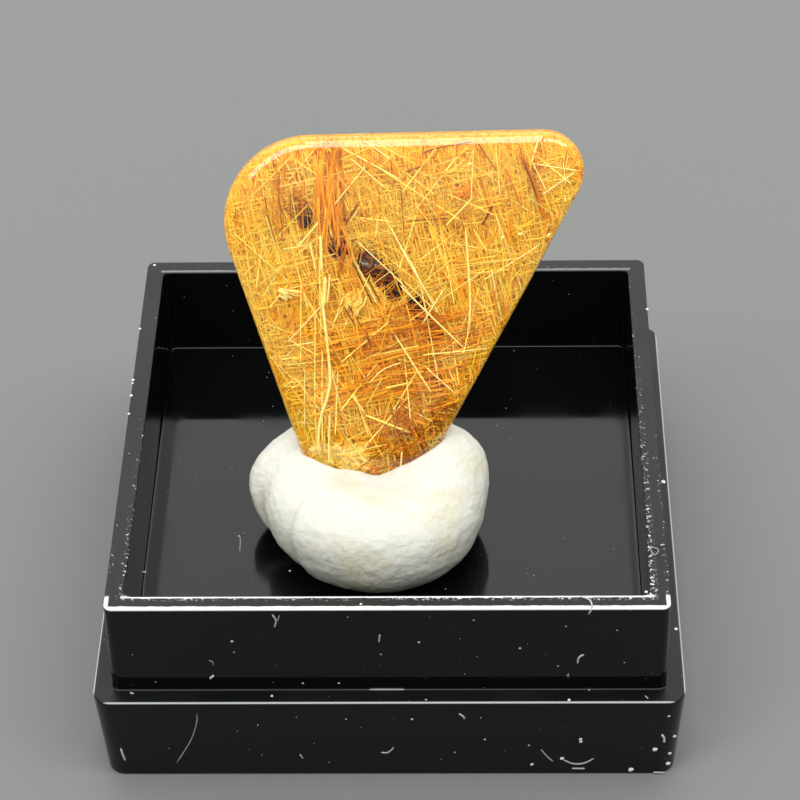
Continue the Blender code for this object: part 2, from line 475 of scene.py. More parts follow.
@dataclass(frozen=True)
class BlackPolystyrene:
    """Black injection-moulded polystyrene: glossy, with smears on the flats, white wear flecks and painted white
    highlight lines along its edges.
    """

    colour: str = "#050607"
    # pale grey, both for the wear flecks and for the painted highlight lines along the edges of the rim and the ledge
    wear_and_highlight: str = "#C9CDCB"
    ior: float = 1.56
    shine: float = 0.24  # the handled surface mirrors less than fresh polystyrene
    smear: float = 4.0  # mm, how wide a smear is
    smear_edge: tuple[float, float] = (0.35, 0.7)  # where in the noise a smear starts and is full
    smear_gloss: tuple[float, float] = (0.05, 0.16)  # roughness between smears and on them
    scratch: float = 0.16  # mm, how large a worn fleck is
    scratch_gain: float = 8.0  # how hard a fleck's edge is
    fewer_outside: float = 0.5  # how much rarer flecks are on the rim's outer edge
    rag: tuple[float, float] = (0.5, 0.12)  # mm, how long and how wide the ragged bits of the painted highlight lines are
    rim_z: float = 12.1
    rim_outside: float = 15.0
    rim_inside: float = 13.98
    ledge_z: float = 6.05
    ledge_outside: float = 16.02

    def bands(self) -> dict[str, tuple[str, float, float, float, float]]:
        """The strips of the moulding that get painted highlight lines, wear flecks or a duller gloss.

        Returns:
            For each strip, what it is measured along, where it starts and where it is full, in mm,
            and its strength at those two places.
        """
        return {
            "front": ("Y", -13.9, -14.1, 0.0, 1.0),
            "back": ("Y", 13.9, 14.1, 0.0, 0.3),
            "rarer at the back": ("Y", 8.0, -12.0, 0.66, 0.54),
            "rarer on the left": ("X", -13.0, 13.0, 0.04, 0.0),
            # Painted highlights: the inner line, the outer line along the front, and the ledge line. The flecks are
            # wear.
            "inner highlight": ("ragged", self.rim_inside + 0.18, self.rim_inside + 0.14, 0.0, 1.0),
            "inner flecks": ("ragged", self.rim_inside + 0.42, self.rim_inside + 0.15, 0.0, 1.0),
            "outer highlight and wear": ("ragged", self.rim_outside - 0.26, self.rim_outside - 0.2, 0.0, 1.0),
            "rim edges": ("Z", self.rim_z - 0.12, self.rim_z - 0.06, 0.0, 1.0),
            "rim top": ("Z", self.rim_z - 0.06, self.rim_z - 0.02, 0.0, 0.3),
            "ledge highlight": ("reach", self.ledge_outside - 0.1, self.ledge_outside - 0.05, 0.0, 0.6),
            "ledge edge": ("Z", self.ledge_z - 0.1, self.ledge_z - 0.05, 0.0, 1.0),
            "ledge top": ("Z", self.ledge_z - 0.06, self.ledge_z - 0.02, 0.0, 1.0),
            "beyond the rim": ("reach", self.rim_outside + 0.02, self.rim_outside + 0.06, 0.0, 0.3),
        }

    def material(self) -> bpy.types.Material:
        """Gloss black whose roughness drifts, with painted highlight lines along the edges of the rim and the ledge,
        and wear flecks on the rim.

        Returns:
            The material.
        """
        constants = {"IOR": self.ior, "Specular_IOR_Level": self.shine}
        material, shader = start_material("black polystyrene", self.colour, **constants)
        tree = material.node_tree
        add = partial(add_node, tree)
        spot = add("ShaderNodeTexCoord").outputs["Object"]
        parts = add(SPLIT, [spot]).outputs
        reach = square_reach(tree, parts)

        rag_size, rag_width = self.rag
        rag = add(NOISE, {"Vector": spot, "Scale": per_mm(rag_size), "Detail": 3.0})
        rag = add(MATH, [rag, 0.5], operation="SUBTRACT")
        rag = add(MATH, [rag, rag_width * MM], operation="MULTIPLY")
        ragged = add(MATH, [reach, rag], operation="ADD")
        along = {"X": parts["X"], "Y": parts["Y"], "Z": parts["Z"], "reach": reach, "ragged": ragged}
        band = {
            name: add(MAP_RANGE, [along[measure], start * MM, full * MM, low, high])
            for name, (measure, start, full, low, high) in self.bands().items()
        }

        flecks = add(NOISE, {"Vector": spot, "Scale": per_mm(self.scratch), "Detail": 3.0})
        for name in ("rarer at the back", "rarer on the left"):
            flecks = add(MATH, [flecks, band[name]], operation="SUBTRACT")
        flecks = add(MATH, [flecks, self.scratch_gain], operation="MULTIPLY")
        both = add(MATH, [band["front"], band["back"]], operation="MAXIMUM")
        fewer = add(MATH, [flecks, self.fewer_outside], operation="SUBTRACT")
        outer = add(MATH, [band["front"], fewer], operation="MAXIMUM")
        # Painted highlights: the inner line along the front and back of the rim, the outer line along the front, and
        # the line on the ledge's edge. The flecks elsewhere on the rim are wear.
        inner, side, outer, ledge = (
            add(MATH, [band[name], strength], operation="MULTIPLY")
            for name, strength in (
                ("inner highlight", both), ("inner flecks", flecks), ("outer highlight and wear", outer),
                ("ledge highlight", band["ledge edge"]),
            )
        )
        rim = add(MATH, [add(MATH, [inner, side], operation="MAXIMUM"), outer], operation="MAXIMUM")
        rim = add(MATH, [rim, band["rim edges"]], operation="MULTIPLY")
        # Painted highlight lines and wear flecks together, as pale grey over the black.
        wear_and_highlight = add(MATH, [rim, ledge], operation="MAXIMUM", use_clamp=True)
        feeds = {0: wear_and_highlight, 6: linear(self.colour), 7: linear(self.wear_and_highlight)}
        colour = add("ShaderNodeMix", feeds, data_type="RGBA")
        tree.links.new(colour.outputs[2], shader.inputs["Base Color"])

        smears = add(NOISE, {"Vector": spot, "Scale": per_mm(self.smear), "Detail": 4.0})
        rough = add(MAP_RANGE, [smears, *self.smear_edge, *self.smear_gloss])
        shelf = add(MATH, [band["ledge top"], band["beyond the rim"]], operation="MULTIPLY")
        duller = add(MATH, [shelf, band["rim top"]], operation="ADD")
        rough = add(MATH, [rough, duller], operation="ADD")
        rough = add(MATH, [wear_and_highlight, rough], operation="ADD", use_clamp=True)
        tree.links.new(rough.outputs[0], shader.inputs["Roughness"])
        return material


@dataclass(frozen=True)
class Lint:
    """Cotton lint and dust: matt, white where thick and grey where the black shows through a fine grain."""

    colour: str = "#DCDBD5"
    thin: str = "#2B2D2C"
    roughness: float = 0.9

    def material(self) -> bpy.types.Material:
        """Grey to white, by each grain's own tint.

        Returns:
            The material.
        """
        material, shader = start_material("cotton lint", self.colour, Roughness=self.roughness)
        tree = material.node_tree
        tint = add_node(tree, "ShaderNodeAttribute", attribute_name="tint").outputs["Fac"]
        ramp = add_node(tree, RAMP, [tint])
        set_stops(ramp, [(0.0, self.thin), (1.0, self.colour)])
        tree.links.new(ramp.outputs[0], shader.inputs["Base Color"])
        return material


@dataclass
class Slab:
    """The polished stone's form: a rounded triangular slab with nearly flat faces and round edges."""

    anchor: Vector = field(default_factory=lambda: Vector((0.0, -1.85, 10.75)) * MM)
    lean: float = math.radians(20)
    corners: tuple = (  # mm across and up, and the corner's radius
        (-4.2, -1.9, 1.3), (1.15, -2.0, 1.4), (12.2, 19.35, 2.25), (-10.7, 18.95, 4.9),
    )
    corner_points: int = 24
    heart: tuple[float, float] = (0.2, 9.5)  # mm across and up, where the faces' poles are
    height: float = 21.3  # mm
    half_low: float = 2.3  # mm, half the thickness at the foot
    half_high: float = 1.6  # mm, half the thickness at the top
    thinning: tuple[float, float] = (0.1, 1.5)  # how soon it starts, as a share of the height, and its power
    edge_power: float = 3.0  # the section's superellipse
    section_width: float = 9.0  # mm, half a typical section
    section_samples: int = 600
    wave: float = 0.05  # mm, how uneven the polished faces are
    wave_rate: tuple[float, float] = (0.55, 0.4)  # radians for each mm across and up
    chips: tuple = (  # a point on each chip's plane, in mm, and the way the plane faces
        ((-1.5, 2.0, 1.0), (-0.25, 0.93, -0.36)), ((0.5, 1.75, -0.1), (0.12, 0.72, -0.68)),
    )
    seat_samples: int = 360  # points of the outline that a needle's place is held against
    seat_reach: float = 0.975  # how near the outline a needle may lie

    def pose(self) -> Matrix:
        """Where the slab stands: its anchor, leaned back."""
        return Matrix.Translation(self.anchor) @ Matrix.Rotation(-self.lean, 4, "X")

    def outline(self, count: int) -> np.ndarray:
        """Points spaced evenly along the rounded outline, in mm.

        Args:
            count: how many points.

        Returns:
            The points, as across and up.
        """
        dense = []
        for index, (across, up, radius) in enumerate(self.corners):
            here = np.array((across, up))
            before = np.array(self.corners[index - 1][:2]) - here
            after = np.array(self.corners[(index + 1) % len(self.corners)][:2]) - here
            before /= np.linalg.norm(before)
            after /= np.linalg.norm(after)
            half_angle = math.acos(float(before @ after)) / 2
            middle = (before + after) / np.linalg.norm(before + after)
            centre = here + middle * radius / math.sin(half_angle)
            sweep = math.pi / 2 - half_angle
            facing = math.atan2(-middle[1], -middle[0])
            for turn in np.linspace(facing - sweep, facing + sweep, self.corner_points):
                dense.append(centre + radius * np.array((math.cos(turn), math.sin(turn))))
        dense = np.array(dense + dense[:1])
        walked = np.concatenate(([0.0], np.cumsum(np.linalg.norm(np.diff(dense, axis=0), axis=1))))
        stations = np.linspace(0.0, walked[-1], count, endpoint=False)
        return np.stack([np.interp(stations, walked, dense[:, axis]) for axis in (0, 1)], axis=1)

    def half_thickness(self, up: np.ndarray) -> np.ndarray:
        """Half the slab's thickness at some heights.

        Args:
            up: the heights up the slab, in mm.

        Returns:
            The half thicknesses, in mm.
        """
        start, power = self.thinning
        share = np.clip(up / self.height + start, 0.0, 1.0)
        return self.half_low + (self.half_high - self.half_low) * share**power

    def section(self, count: int) -> tuple[np.ndarray, np.ndarray]:
        """Stations over the slab's section, closest together round the edge.

        Args:
            count: stations from one face's middle to the other's, both left out.

        Returns:
            How far out each station is and how far forward, both as a share.
        """
        turn = np.linspace(0.0, math.pi / 2, self.section_samples)
        out = np.sin(turn) ** (2 / self.edge_power)
        forward = np.cos(turn) ** (2 / self.edge_power)
        outs, forwards = np.diff(out) * self.section_width, np.diff(forward) * self.half_low
        steps, angles = np.hypot(outs, forwards), np.unwrap(np.arctan2(forwards, outs))
        turned = np.concatenate(([0.0], np.abs(np.diff(angles))))
        walked = np.concatenate(([0.0], np.cumsum(steps / steps.sum() + 2 * turned / turned.sum())))
        half = count // 2
        stations = np.linspace(0.0, walked[-1], half + 1)[1:]
        out_half = np.interp(stations, walked, out)
        forward_half = np.interp(stations, walked, forward)
        return (
            np.concatenate((out_half, out_half[-2::-1])),
            np.concatenate((forward_half, -forward_half[-2::-1])),
        )

    def skin(self, name: str, ribs: int, rings: int, grow: float = 0.0) -> bpy.types.Mesh:
        """The slab's closed surface, in the slab's own space.

        Args:
            name: the mesh's name.
            ribs: points round the outline.
            rings: stations from the middle of one face to the middle of the other.
            grow: how much larger all over, in mm.

        Returns:
            The mesh.
        """
        heart = np.array(self.heart)
        spokes = self.outline(ribs) - heart
        spokes *= 1 + grow / np.linalg.norm(spokes, axis=1, keepdims=True)
        out, forward = self.section(rings)
        flat = heart + out[:, None, None] * spokes
        points = self.bulge(flat, forward[:, None], grow)
        poles = [self.bulge(heart, np.array(side), grow) for side in (1.0, -1.0)]
        if not grow:
            self.flatten_chips(points)
        made = [Vector((pole[0], -pole[1], pole[2])) * MM for pole in poles]
        points[..., 1] *= -1
        return loft(name, points * MM, made[0], made[1])

    def bulge(self, flat: np.ndarray, forward: np.ndarray, grow: float) -> np.ndarray:
        """Give points on the slab's middle plane their distance towards the viewer.

        Args:
            flat: across and up, in mm.
            forward: the share of the thickness at each.
            grow: how much thicker, in mm.

        Returns:
            Across, towards the viewer and up, in mm.
        """
        across, up = flat[..., 0], flat[..., 1]
        wave = self.wave * np.sin(across * self.wave_rate[0] + 1.0) * np.cos(up * self.wave_rate[1])
        facing = forward * (self.half_thickness(up) + grow + wave)
        return np.stack(np.broadcast_arrays(across, facing, up), axis=-1).copy()

    def flatten_chips(self, points: np.ndarray) -> None:
        """Press whatever stands past each chip's plane back onto that plane.

        Args:
            points: across, towards the viewer and up, in mm; changed in place.
        """
        for corner, outward in self.chips:
            direction = np.array(outward) / np.linalg.norm(outward)
            beyond = np.maximum((points - np.array(corner)) @ direction, 0.0)
            points -= beyond[..., None] * direction

    def seat(self, across: float, up: float, share: float) -> Vector:
        """A point inside the slab, in the slab's own space.

        Args:
            across: mm across the slab.
            up: mm up the slab.
            share: how near the front face, from -1 at the back to 1.

        Returns:
            The point, drawn in from the outline if it would stand past it.
        """
        heart = np.array(self.heart)
        spokes = self.outline(self.seat_samples) - heart
        angles = np.arctan2(spokes[:, 1], spokes[:, 0])
        order = np.argsort(angles)
        step = np.array((across, up)) - heart
        far = np.linalg.norm(step)
        lengths = np.linalg.norm(spokes[order], axis=1)
        reach = np.interp(math.atan2(step[1], step[0]), angles[order], lengths, period=math.tau)
        out = min(far / reach, self.seat_reach)
        spot = heart + step / max(far, 1e-6) * out * reach
        room = (1 - out**self.edge_power) ** (1 / self.edge_power) * float(self.half_thickness(spot[1]))
        return Vector((spot[0], -share * room, spot[1])) * MM


@dataclass
class Quartz:
    """The polished stone itself."""

    slab: Slab
    ribs: int = 320
    rings: int = 76
    finish: PolishedQuartz = PolishedQuartz()

    def build(self) -> bpy.types.Object:
        """Make the stone and dress it.

        Returns:
            The finished object.
        """
        mesh = self.slab.skin("quartz_stone", self.ribs, self.rings)
        mesh.transform(self.slab.pose())
        piece = place("quartz_stone", mesh)
        mesh.materials.append(self.finish.material())
        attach(piece, "root")
        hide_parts("quartz")
        return piece


@dataclass(frozen=True)
class Growth:
    """One growth of needles: where they start in the slab, which way they run, and how they look."""

    name: str
    count: int
    low: tuple[float, float, float]  # mm across, share from the back face at -1 to the front at 1, mm up
    high: tuple[float, float, float]
    heading: tuple[float, float, float]
    wander: tuple[float, float, float]
    length: tuple[float, float]  # mm
    width: tuple[float, float]  # mm
    tone: Tone
    seed: int
    window: float = 0.0  # mm kept clear round each window
    roll: float = 0.4  # how far the blades turn away from lying flat with the faces
    pointed: bool = False


@dataclass(frozen=True)
class Strand:
    """One needle or hair that stands out, drawn where it lies; a few short ones are painted glints."""

    points: tuple[tuple[float, float], ...]  # across and up, in mm
    share: float  # from -1 at the back face to 1 at the front
    width: float  # mm
    tone: Tone


@dataclass
class Needles:
    """All the rutile in the stone, with a few needles that are painted glints and painted light."""

    slab: Slab
    finish: Rutile = Rutile()
    sight_rise: float = 0.21  # how far down a needle looks, through the face, for each mm of depth
    skin_clear: float = 0.2  # mm from a needle's end to the polished surface
    rim_clear: float = 0.5  # needles start where the slab is at least twice this many mm thick
    shortest: float = 0.2  # mm; what is cut shorter is left out
    tries: tuple[float, ...] = (-0.4, 0.0, 0.4)  # where along it a needle has to miss every window
    blade: tuple = ((-0.5, -0.12), (0.5, -0.12), (0.0, 0.24))  # a needle's section, one unit wide
    shoulder: float = 0.44  # how far from its middle a pointed needle keeps its width, of 0.5
    skin_points: tuple[int, int] = (96, 28)  # the ribs and rings of the skin that needles stay in
    windows: tuple = (
        (-4.4, 14.6), (-2.6, 12.8), (-1.1, 12.1), (-0.8, 11.7), (-0.2, 11.2), (0.4, 10.4), (1.5, 9.5), (2.0, 9.0),
        (2.6, 8.0), (2.5, 5.1),
    )
    # Each row is in the order of Growth's fields.
    growths: tuple[Growth, ...] = (
        Growth("rutile_felt", 16000, (-11, -0.96, -2), (12.5, -0.3, 21), (0, 0, 0), (1, 0.04, 1),
               (1.0, 2.4), (0.03, 0.055), Tone.HONEY, 11, 0.68, 0.5),
        Growth("rutile_veil", 34000, (-11, -0.3, -2), (12.5, 0.6, 21), (0, 0, 0), (1, 0.05, 1),
               (0.9, 2.5), (0.025, 0.045), Tone.HONEY, 21, 0.68, 0.4),
        Growth("rutile_steep_hair", 9000, (-11, -0.3, 1), (12.5, 0.7, 21), (-0.22, 0, 1), (0.16, 0.03, 0.2),
               (1.4, 4.0), (0.025, 0.05), Tone.HONEY, 31, 0.7, 0.3),
        Growth("rutile_level_hair", 6000, (-11, -0.3, -1), (12.5, 0.7, 18), (1, 0, 0.2), (0.2, 0.03, 0.12),
               (1.2, 3.2), (0.025, 0.05), Tone.HONEY, 41, 0.7, 0.3),
        Growth("rutile_deep_brown", 340, (-5.6, -0.8, 12.0), (-1.4, -0.5, 16.0), (0, 0, 0), (1, 0.03, 1),
               (0.8, 2.0), (0.06, 0.13), Tone.BROWN, 46, 0.0, 0.3),
        Growth("rutile_deep_rust", 110, (-1.8, -0.8, 7.4), (3.4, -0.5, 12.4), (0, 0, 0), (1, 0.03, 1),
               (0.8, 2.0), (0.05, 0.1), Tone.BROWN, 48, 0.0, 0.3),
        Growth("rutile_back_needles", 900, (-11, -0.96, -2), (12.5, -0.8, 21), (0, 0, 0), (1, 0.05, 1),
               (1.6, 5.5), (0.03, 0.08), Tone.GOLD, 36, 0.0, 0.3, True),
        Growth("rutile_back_amber", 500, (-11, -0.96, 0), (12.5, -0.7, 21), (0.3, 0, -1), (0.7, 0.05, 0.7),
               (1.2, 5.0), (0.03, 0.08), Tone.FLAME, 38, 0.0, 0.3, True),
        Growth("rutile_rust_hair", 1000, (-11, 0.0, 0.0), (12.5, 0.85, 21), (0.2, 0, 1), (0.8, 0.06, 0.8),
               (0.6, 2.4), (0.025, 0.05), Tone.RUST, 49, 0.3, 0.4),
        Growth("rutile_needles", 1300, (-11, 0.0, -2), (12.5, 0.9, 21), (0, 0, 0), (1, 0.12, 1),
               (1.4, 5.5), (0.03, 0.07), Tone.GOLD, 51, 0.5, 0.4, True),
        Growth("rutile_amber", 1100, (-11, 0.0, 2), (12.5, 0.9, 21), (0.25, 0, -1), (0.6, 0.06, 0.5),
               (1.2, 5.0), (0.03, 0.07), Tone.FLAME, 61, 0.5, 0.4, True),
        Growth("rutile_sheaf", 24, (-4.1, 0.1, 0.5), (-3.4, 0.9, 15), (0.02, 0, 1), (0.04, 0.05, 0.1),
               (3.0, 9.0), (0.04, 0.09), Tone.GOLD, 71, 0.0, 0.4, True),
        Growth("rutile_flame", 250, (-3.9, 0.0, 14.2), (-2.6, 0.95, 20.0), (0.0, 0, 1), (0.12, 0.05, 0.1),
               (0.8, 3.4), (0.06, 0.13), Tone.FLAME, 81, 0.0, 0.4, True),
        Growth("rutile_flame_dark", 70, (-4.0, 0.3, 14.6), (-2.3, 0.95, 19.8), (0.0, 0, 1), (0.16, 0.05, 0.1),
               (0.6, 2.6), (0.04, 0.1), Tone.RUST, 86, 0.0, 0.4, True),
        Growth("rutile_olive", 60, (-6.2, 0.1, 15.2), (-4.4, 0.9, 19.2), (0.02, 0, 1), (0.05, 0.05, 0.1),
               (1.0, 3.2), (0.03, 0.07), Tone.RUST, 91, 0.0, 0.4, True),
        Growth("rutile_smoke", 26, (-5.6, 0.2, 14.9), (-4.3, 0.8, 15.8), (1, 0, -0.8), (0.3, 0.05, 0.4),
               (0.4, 1.2), (0.03, 0.07), Tone.BROWN, 96, 0.0, 0.5, True),
        Growth("rutile_sweep", 440, (-4.0, -0.2, 4.0), (6.0, 0.8, 9.4), (1, 0, 0.22), (0.2, 0.1, 0.14),
               (1.5, 5.5), (0.04, 0.11), Tone.FLAME, 101, 0.5, 0.4, True),
        Growth("rutile_sweep_dark", 190, (-3.6, 0.2, 4.6), (4.6, 0.9, 9.6), (1, 0, 0.25), (0.3, 0.1, 0.3),
               (0.8, 3.0), (0.035, 0.08), Tone.RUST, 106, 0.0, 0.4, True),
        Growth("rutile_tangle", 420, (-1.0, -0.5, 0.0), (4.6, 0.9, 4.4), (0, 0, 0), (1, 0.3, 1),
               (0.6, 2.6), (0.05, 0.1), Tone.RUST, 111, 0.0, 0.6, True),
        Growth("rutile_tangle_dark", 240, (0.2, 0.3, 0.4), (4.4, 0.95, 4.4), (0, 0, 0), (1, 0.2, 1),
               (0.5, 1.8), (0.04, 0.09), Tone.BROWN, 116, 0.0, 0.6, True),
        Growth("rutile_crumbs", 300, (-11, 0.0, 1.0), (12.5, 0.9, 20.5), (0.5, 0, 1), (0.7, 0.1, 0.5),
               (0.3, 1.2), (0.03, 0.07), Tone.RUST, 121, 0.0, 0.6, True),
        # The next two growths are painted light: a pale gold patch where light shines through the stone, and a short
        # straw streak for a small reflection on the left.
        Growth("rutile_pale_patch", 46, (-2.3, 0.4, 9.4), (-1.2, 0.8, 10.6), (0.4, 0, 1), (0.8, 0.05, 0.8),
               (0.3, 0.9), (0.06, 0.16), Tone.GOLD, 131, 0.0, 0.2, True),
        Growth("rutile_left_patch", 14, (-5.9, 0.6, 10.3), (-4.9, 0.9, 10.8), (1, 0, -0.3), (0.2, 0.05, 0.2),
               (0.3, 0.7), (0.06, 0.14), Tone.STRAW, 136, 0.0, 0.2, True),
        Growth("rutile_pale_foot", 420, (-4.2, 0.2, 0.0), (-1.4, 0.6, 1.6), (0, 0, 0), (1, 0.02, 1),
               (0.4, 1.0), (0.14, 0.3), Tone.STRAW, 141, 0.0, 0.04),
        Growth("rutile_red_knot", 30, (3.85, 0.6, 15.9), (4.5, 0.95, 16.4), (0, 0, 0), (1, 0.1, 1),
               (0.2, 0.6), (0.04, 0.09), Tone.RUST, 151, 0.0, 0.5, True),
        Growth("rutile_foot_knot", 16, (-1.25, 0.7, 0.1), (-0.85, 0.95, 0.5), (0, 0, 0), (1, 0.1, 1),
               (0.15, 0.4), (0.05, 0.1), Tone.RUST, 156, 0.0, 0.5, True),
    )
    strands: tuple[Strand, ...] = (
        Strand(((-1.16, 18.93), (0.41, 17.82)), 0.8, 0.07, Tone.STRAW),
        Strand(((-2.43, 18.55), (0.84, 16.82)), 0.75, 0.08, Tone.STRAW),
        Strand(((-1.94, 18.02), (0.01, 16.38)), 0.8, 0.07, Tone.STRAW),
        Strand(((-1.12, 17.62), (-2.87, 15.53)), 0.85, 0.07, Tone.STRAW),
        Strand(((-3.59, 14.73), (-4.9, 13.21)), 0.85, 0.09, Tone.STRAW),
        Strand(((-3.61, 13.93), (-3.59, 11.86)), 0.85, 0.17, Tone.STRAW),
        Strand(((-4.19, 13.41), (-3.91, 11.86)), 0.8, 0.1, Tone.STRAW),
        Strand(((-3.32, 15.39), (-2.97, 13.72)), 0.8, 0.1, Tone.GOLD),
        Strand(((-3.12, 15.87), (-2.65, 13.72)), 0.75, 0.1, Tone.GOLD),
        Strand(((-4.57, 16.41), (-4.52, 13.47)), 0.8, 0.06, Tone.RUST),
        Strand(((-6.67, 16.34), (-6.4, 14.68), (-6.05, 13.48)), 0.8, 0.07, Tone.BROWN),
        Strand(((-6.31, 15.88), (-5.86, 13.47)), 0.8, 0.06, Tone.RUST),
        Strand(((-5.79, 15.88), (-5.67, 13.34)), 0.8, 0.06, Tone.BROWN),
        Strand(((-1.47, 15.71), (-2.26, 14.46)), 0.7, 0.1, Tone.BROWN),
        Strand(((-1.34, 15.58), (-2.06, 14.53)), 0.75, 0.07, Tone.STRAW),
        Strand(((-2.15, 13.46), (-2.83, 11.11)), 0.6, 0.2, Tone.RUST),
        Strand(((-1.78, 12.45), (-0.6, 10.0)), 0.8, 0.08, Tone.STRAW),
        Strand(((-1.65, 12.48), (-0.39, 10.01)), 0.7, 0.08, Tone.INK),
        Strand(((-1.93, 12.38), (-0.83, 9.96)), 0.7, 0.07, Tone.INK),
        Strand(((-1.69, 13.59), (0.33, 11.63), (1.2, 10.62)), 0.8, 0.07, Tone.STRAW),
        Strand(((-0.14, 14.91), (0.92, 12.9), (1.75, 11.21), (2.8, 4.93)), 0.8, 0.08, Tone.STRAW),
        Strand(((-3.4, 11.58), (-3.5, 9.89)), 0.85, 0.2, Tone.STRAW),
        Strand(((-3.14, 11.71), (-3.31, 10.09)), 0.85, 0.1, Tone.STRAW),
        Strand(((7.25, 18.25), (7.97, 16.5), (8.5, 14.64)), 0.75, 0.22, Tone.RUST),
        Strand(((7.4, 17.9), (8.0, 16.3), (8.3, 15.2)), 0.8, 0.1, Tone.BROWN),
        Strand(((5.75, 15.48), (5.16, 14.39)), 0.8, 0.14, Tone.BROWN),
        Strand(((4.78, 18.93), (5.49, 15.36)), 0.7, 0.08, Tone.RUST),
        Strand(((4.91, 18.8), (5.95, 17.32)), 0.8, 0.07, Tone.BROWN),
        Strand(((6.41, 17.52), (7.32, 15.28)), 0.75, 0.08, Tone.RUST),
        Strand(((4.25, 14.26), (4.49, 10.12), (4.3, 8.0)), 0.85, 0.12, Tone.STRAW),
        Strand(((5.88, 15.0), (7.27, 10.46)), 0.8, 0.08, Tone.STRAW),
        Strand(((8.22, 18.97), (7.83, 17.77)), 0.8, 0.09, Tone.STRAW),
        Strand(((7.9, 17.7), (10.37, 17.16)), 0.8, 0.07, Tone.STRAW),
        Strand(((7.9, 17.7), (8.62, 16.21)), 0.8, 0.07, Tone.STRAW),
        Strand(((8.43, 16.02), (10.18, 17.16)), 0.8, 0.07, Tone.STRAW),
        Strand(((9.52, 17.77), (9.66, 16.48)), 0.8, 0.06, Tone.STRAW),
        Strand(((0.69, 13.25), (2.83, 9.37)), 0.85, 0.09, Tone.STRAW),
        Strand(((0.66, 11.12), (2.36, 9.31), (3.08, 8.55), (4.11, 7.43)), 0.9, 0.1, Tone.STRAW),
        Strand(((3.1, 10.96), (1.87, 8.89)), 0.9, 0.08, Tone.STRAW),
        Strand(((5.62, 11.98), (6.08, 9.29)), 0.8, 0.09, Tone.STRAW),
        Strand(((1.1, 14.62), (3.33, 14.75)), 0.7, 0.07, Tone.BROWN),
        Strand(((1.92, 18.21), (2.79, 18.52), (4.65, 18.8)), 0.75, 0.08, Tone.BROWN),
        Strand(((1.0, 17.27), (2.04, 17.61)), 0.75, 0.08, Tone.BROWN),
        Strand(((0.79, 16.43), (0.92, 13.53)), 0.75, 0.06, Tone.BROWN),
        Strand(((2.21, 14.41), (4.36, 9.29)), 0.55, 0.28, Tone.HONEY),
        Strand(((-3.64, 10.79), (-3.25, 6.18), (-3.36, 4.8), (-3.88, 3.08), (-4.01, 1.05)), 0.85, 0.18, Tone.STRAW),
        Strand(((-3.3, 3.67), (-3.45, 0.45)), 0.85, 0.12, Tone.STRAW),
        Strand(((-4.63, 6.1), (-4.71, 2.64)), 0.8, 0.07, Tone.STRAW),
        Strand(((1.86, 7.1), (5.32, 7.25)), 0.9, 0.08, Tone.STRAW),
        Strand(((0.34, 8.3), (2.32, 4.86)), 0.9, 0.1, Tone.STRAW),
        Strand(((2.01, 6.41), (3.61, 4.69)), 0.9, 0.09, Tone.STRAW),
        Strand(((-3.57, 10.03), (-5.56, 7.74)), 0.9, 0.08, Tone.STRAW),
        Strand(((-5.56, 7.52), (-4.02, 7.81)), 0.85, 0.07, Tone.STRAW),
        Strand(((-1.08, 5.48), (-0.33, 6.26), (0.72, 6.68)), 0.9, 0.07, Tone.STRAW),
        Strand(((-2.06, 5.31), (-0.9, 6.0)), 0.85, 0.1, Tone.BROWN),
        Strand(((-2.45, 9.93), (-1.67, 8.57)), 0.85, 0.07, Tone.INK),
        Strand(((-2.19, 10.03), (-1.45, 8.7)), 0.85, 0.06, Tone.INK),
        Strand(((-1.27, 8.57), (-0.96, 7.54)), 0.8, 0.14, Tone.BROWN),
        Strand(((-2.06, 4.8), (-1.35, 3.67)), 0.85, 0.08, Tone.STRAW),
        Strand(((-1.35, 3.58), (1.08, 2.52)), 0.85, 0.14, Tone.GOLD),
        Strand(((0.66, 1.4), (0.56, 0.24)), 0.9, 0.1, Tone.STRAW),
        Strand(((2.7, 2.67), (2.38, 2.8), (2.06, 2.67), (1.93, 2.35), (2.06, 2.03), (2.4, 1.92)),
               0.93, 0.06, Tone.FLAME),
        # The last four short, thick straw stubs, just under the front face, are painted glints: pale spots where the
        # stone shows small bright highlights.
        Strand(((6.2, 13.68), (6.36, 13.8)), 0.95, 0.16, Tone.STRAW),
        Strand(((7.1, 13.9), (7.34, 13.9)), 0.95, 0.16, Tone.STRAW),
        Strand(((8.7, 13.6), (8.84, 13.78)), 0.95, 0.18, Tone.STRAW),
        Strand(((4.4, 17.7), (4.62, 17.78)), 0.95, 0.14, Tone.STRAW),
    )

    def unit_needle(self, name: str, shoulder: float) -> bpy.types.Object:
        """A needle one unit long and one unit wide: a flat three-sided blade whose broad side faces -Y.

        Args:
            name: the helper's name.
            shoulder: how far from the middle the blade keeps its width, of 0.5; the rest is its point.

        Returns:
            A helper object, which isn't in the scene's collections.
        """
        mesh = bmesh.new()
        low, high = ([mesh.verts.new((x, y, height)) for x, y in self.blade] for height in (-shoulder, shoulder))
        for here in range(3):
            after = (here + 1) % 3
            mesh.faces.new((low[here], low[after], high[after], high[here]))
        for ring, way in ((low[::-1], -0.5), (high, 0.5)):
            if shoulder < 0.5:
                tip = mesh.verts.new((0.0, 0.0, way))
                for here in range(3):
                    mesh.faces.new((ring[here], ring[(here + 1) % 3], tip))
            else:
                mesh.faces.new(ring)
        return bpy.data.objects.new(name, finished(mesh, name))

    def window_points(self) -> bpy.types.Object:
        """The clear windows' middles, as loose points on the slab's middle plane."""
        data = bpy.data.meshes.new("windows")
        data.from_pydata([(across * MM, 0.0, up * MM) for across, up in self.windows], [], [])
        return bpy.data.objects.new("windows", data)

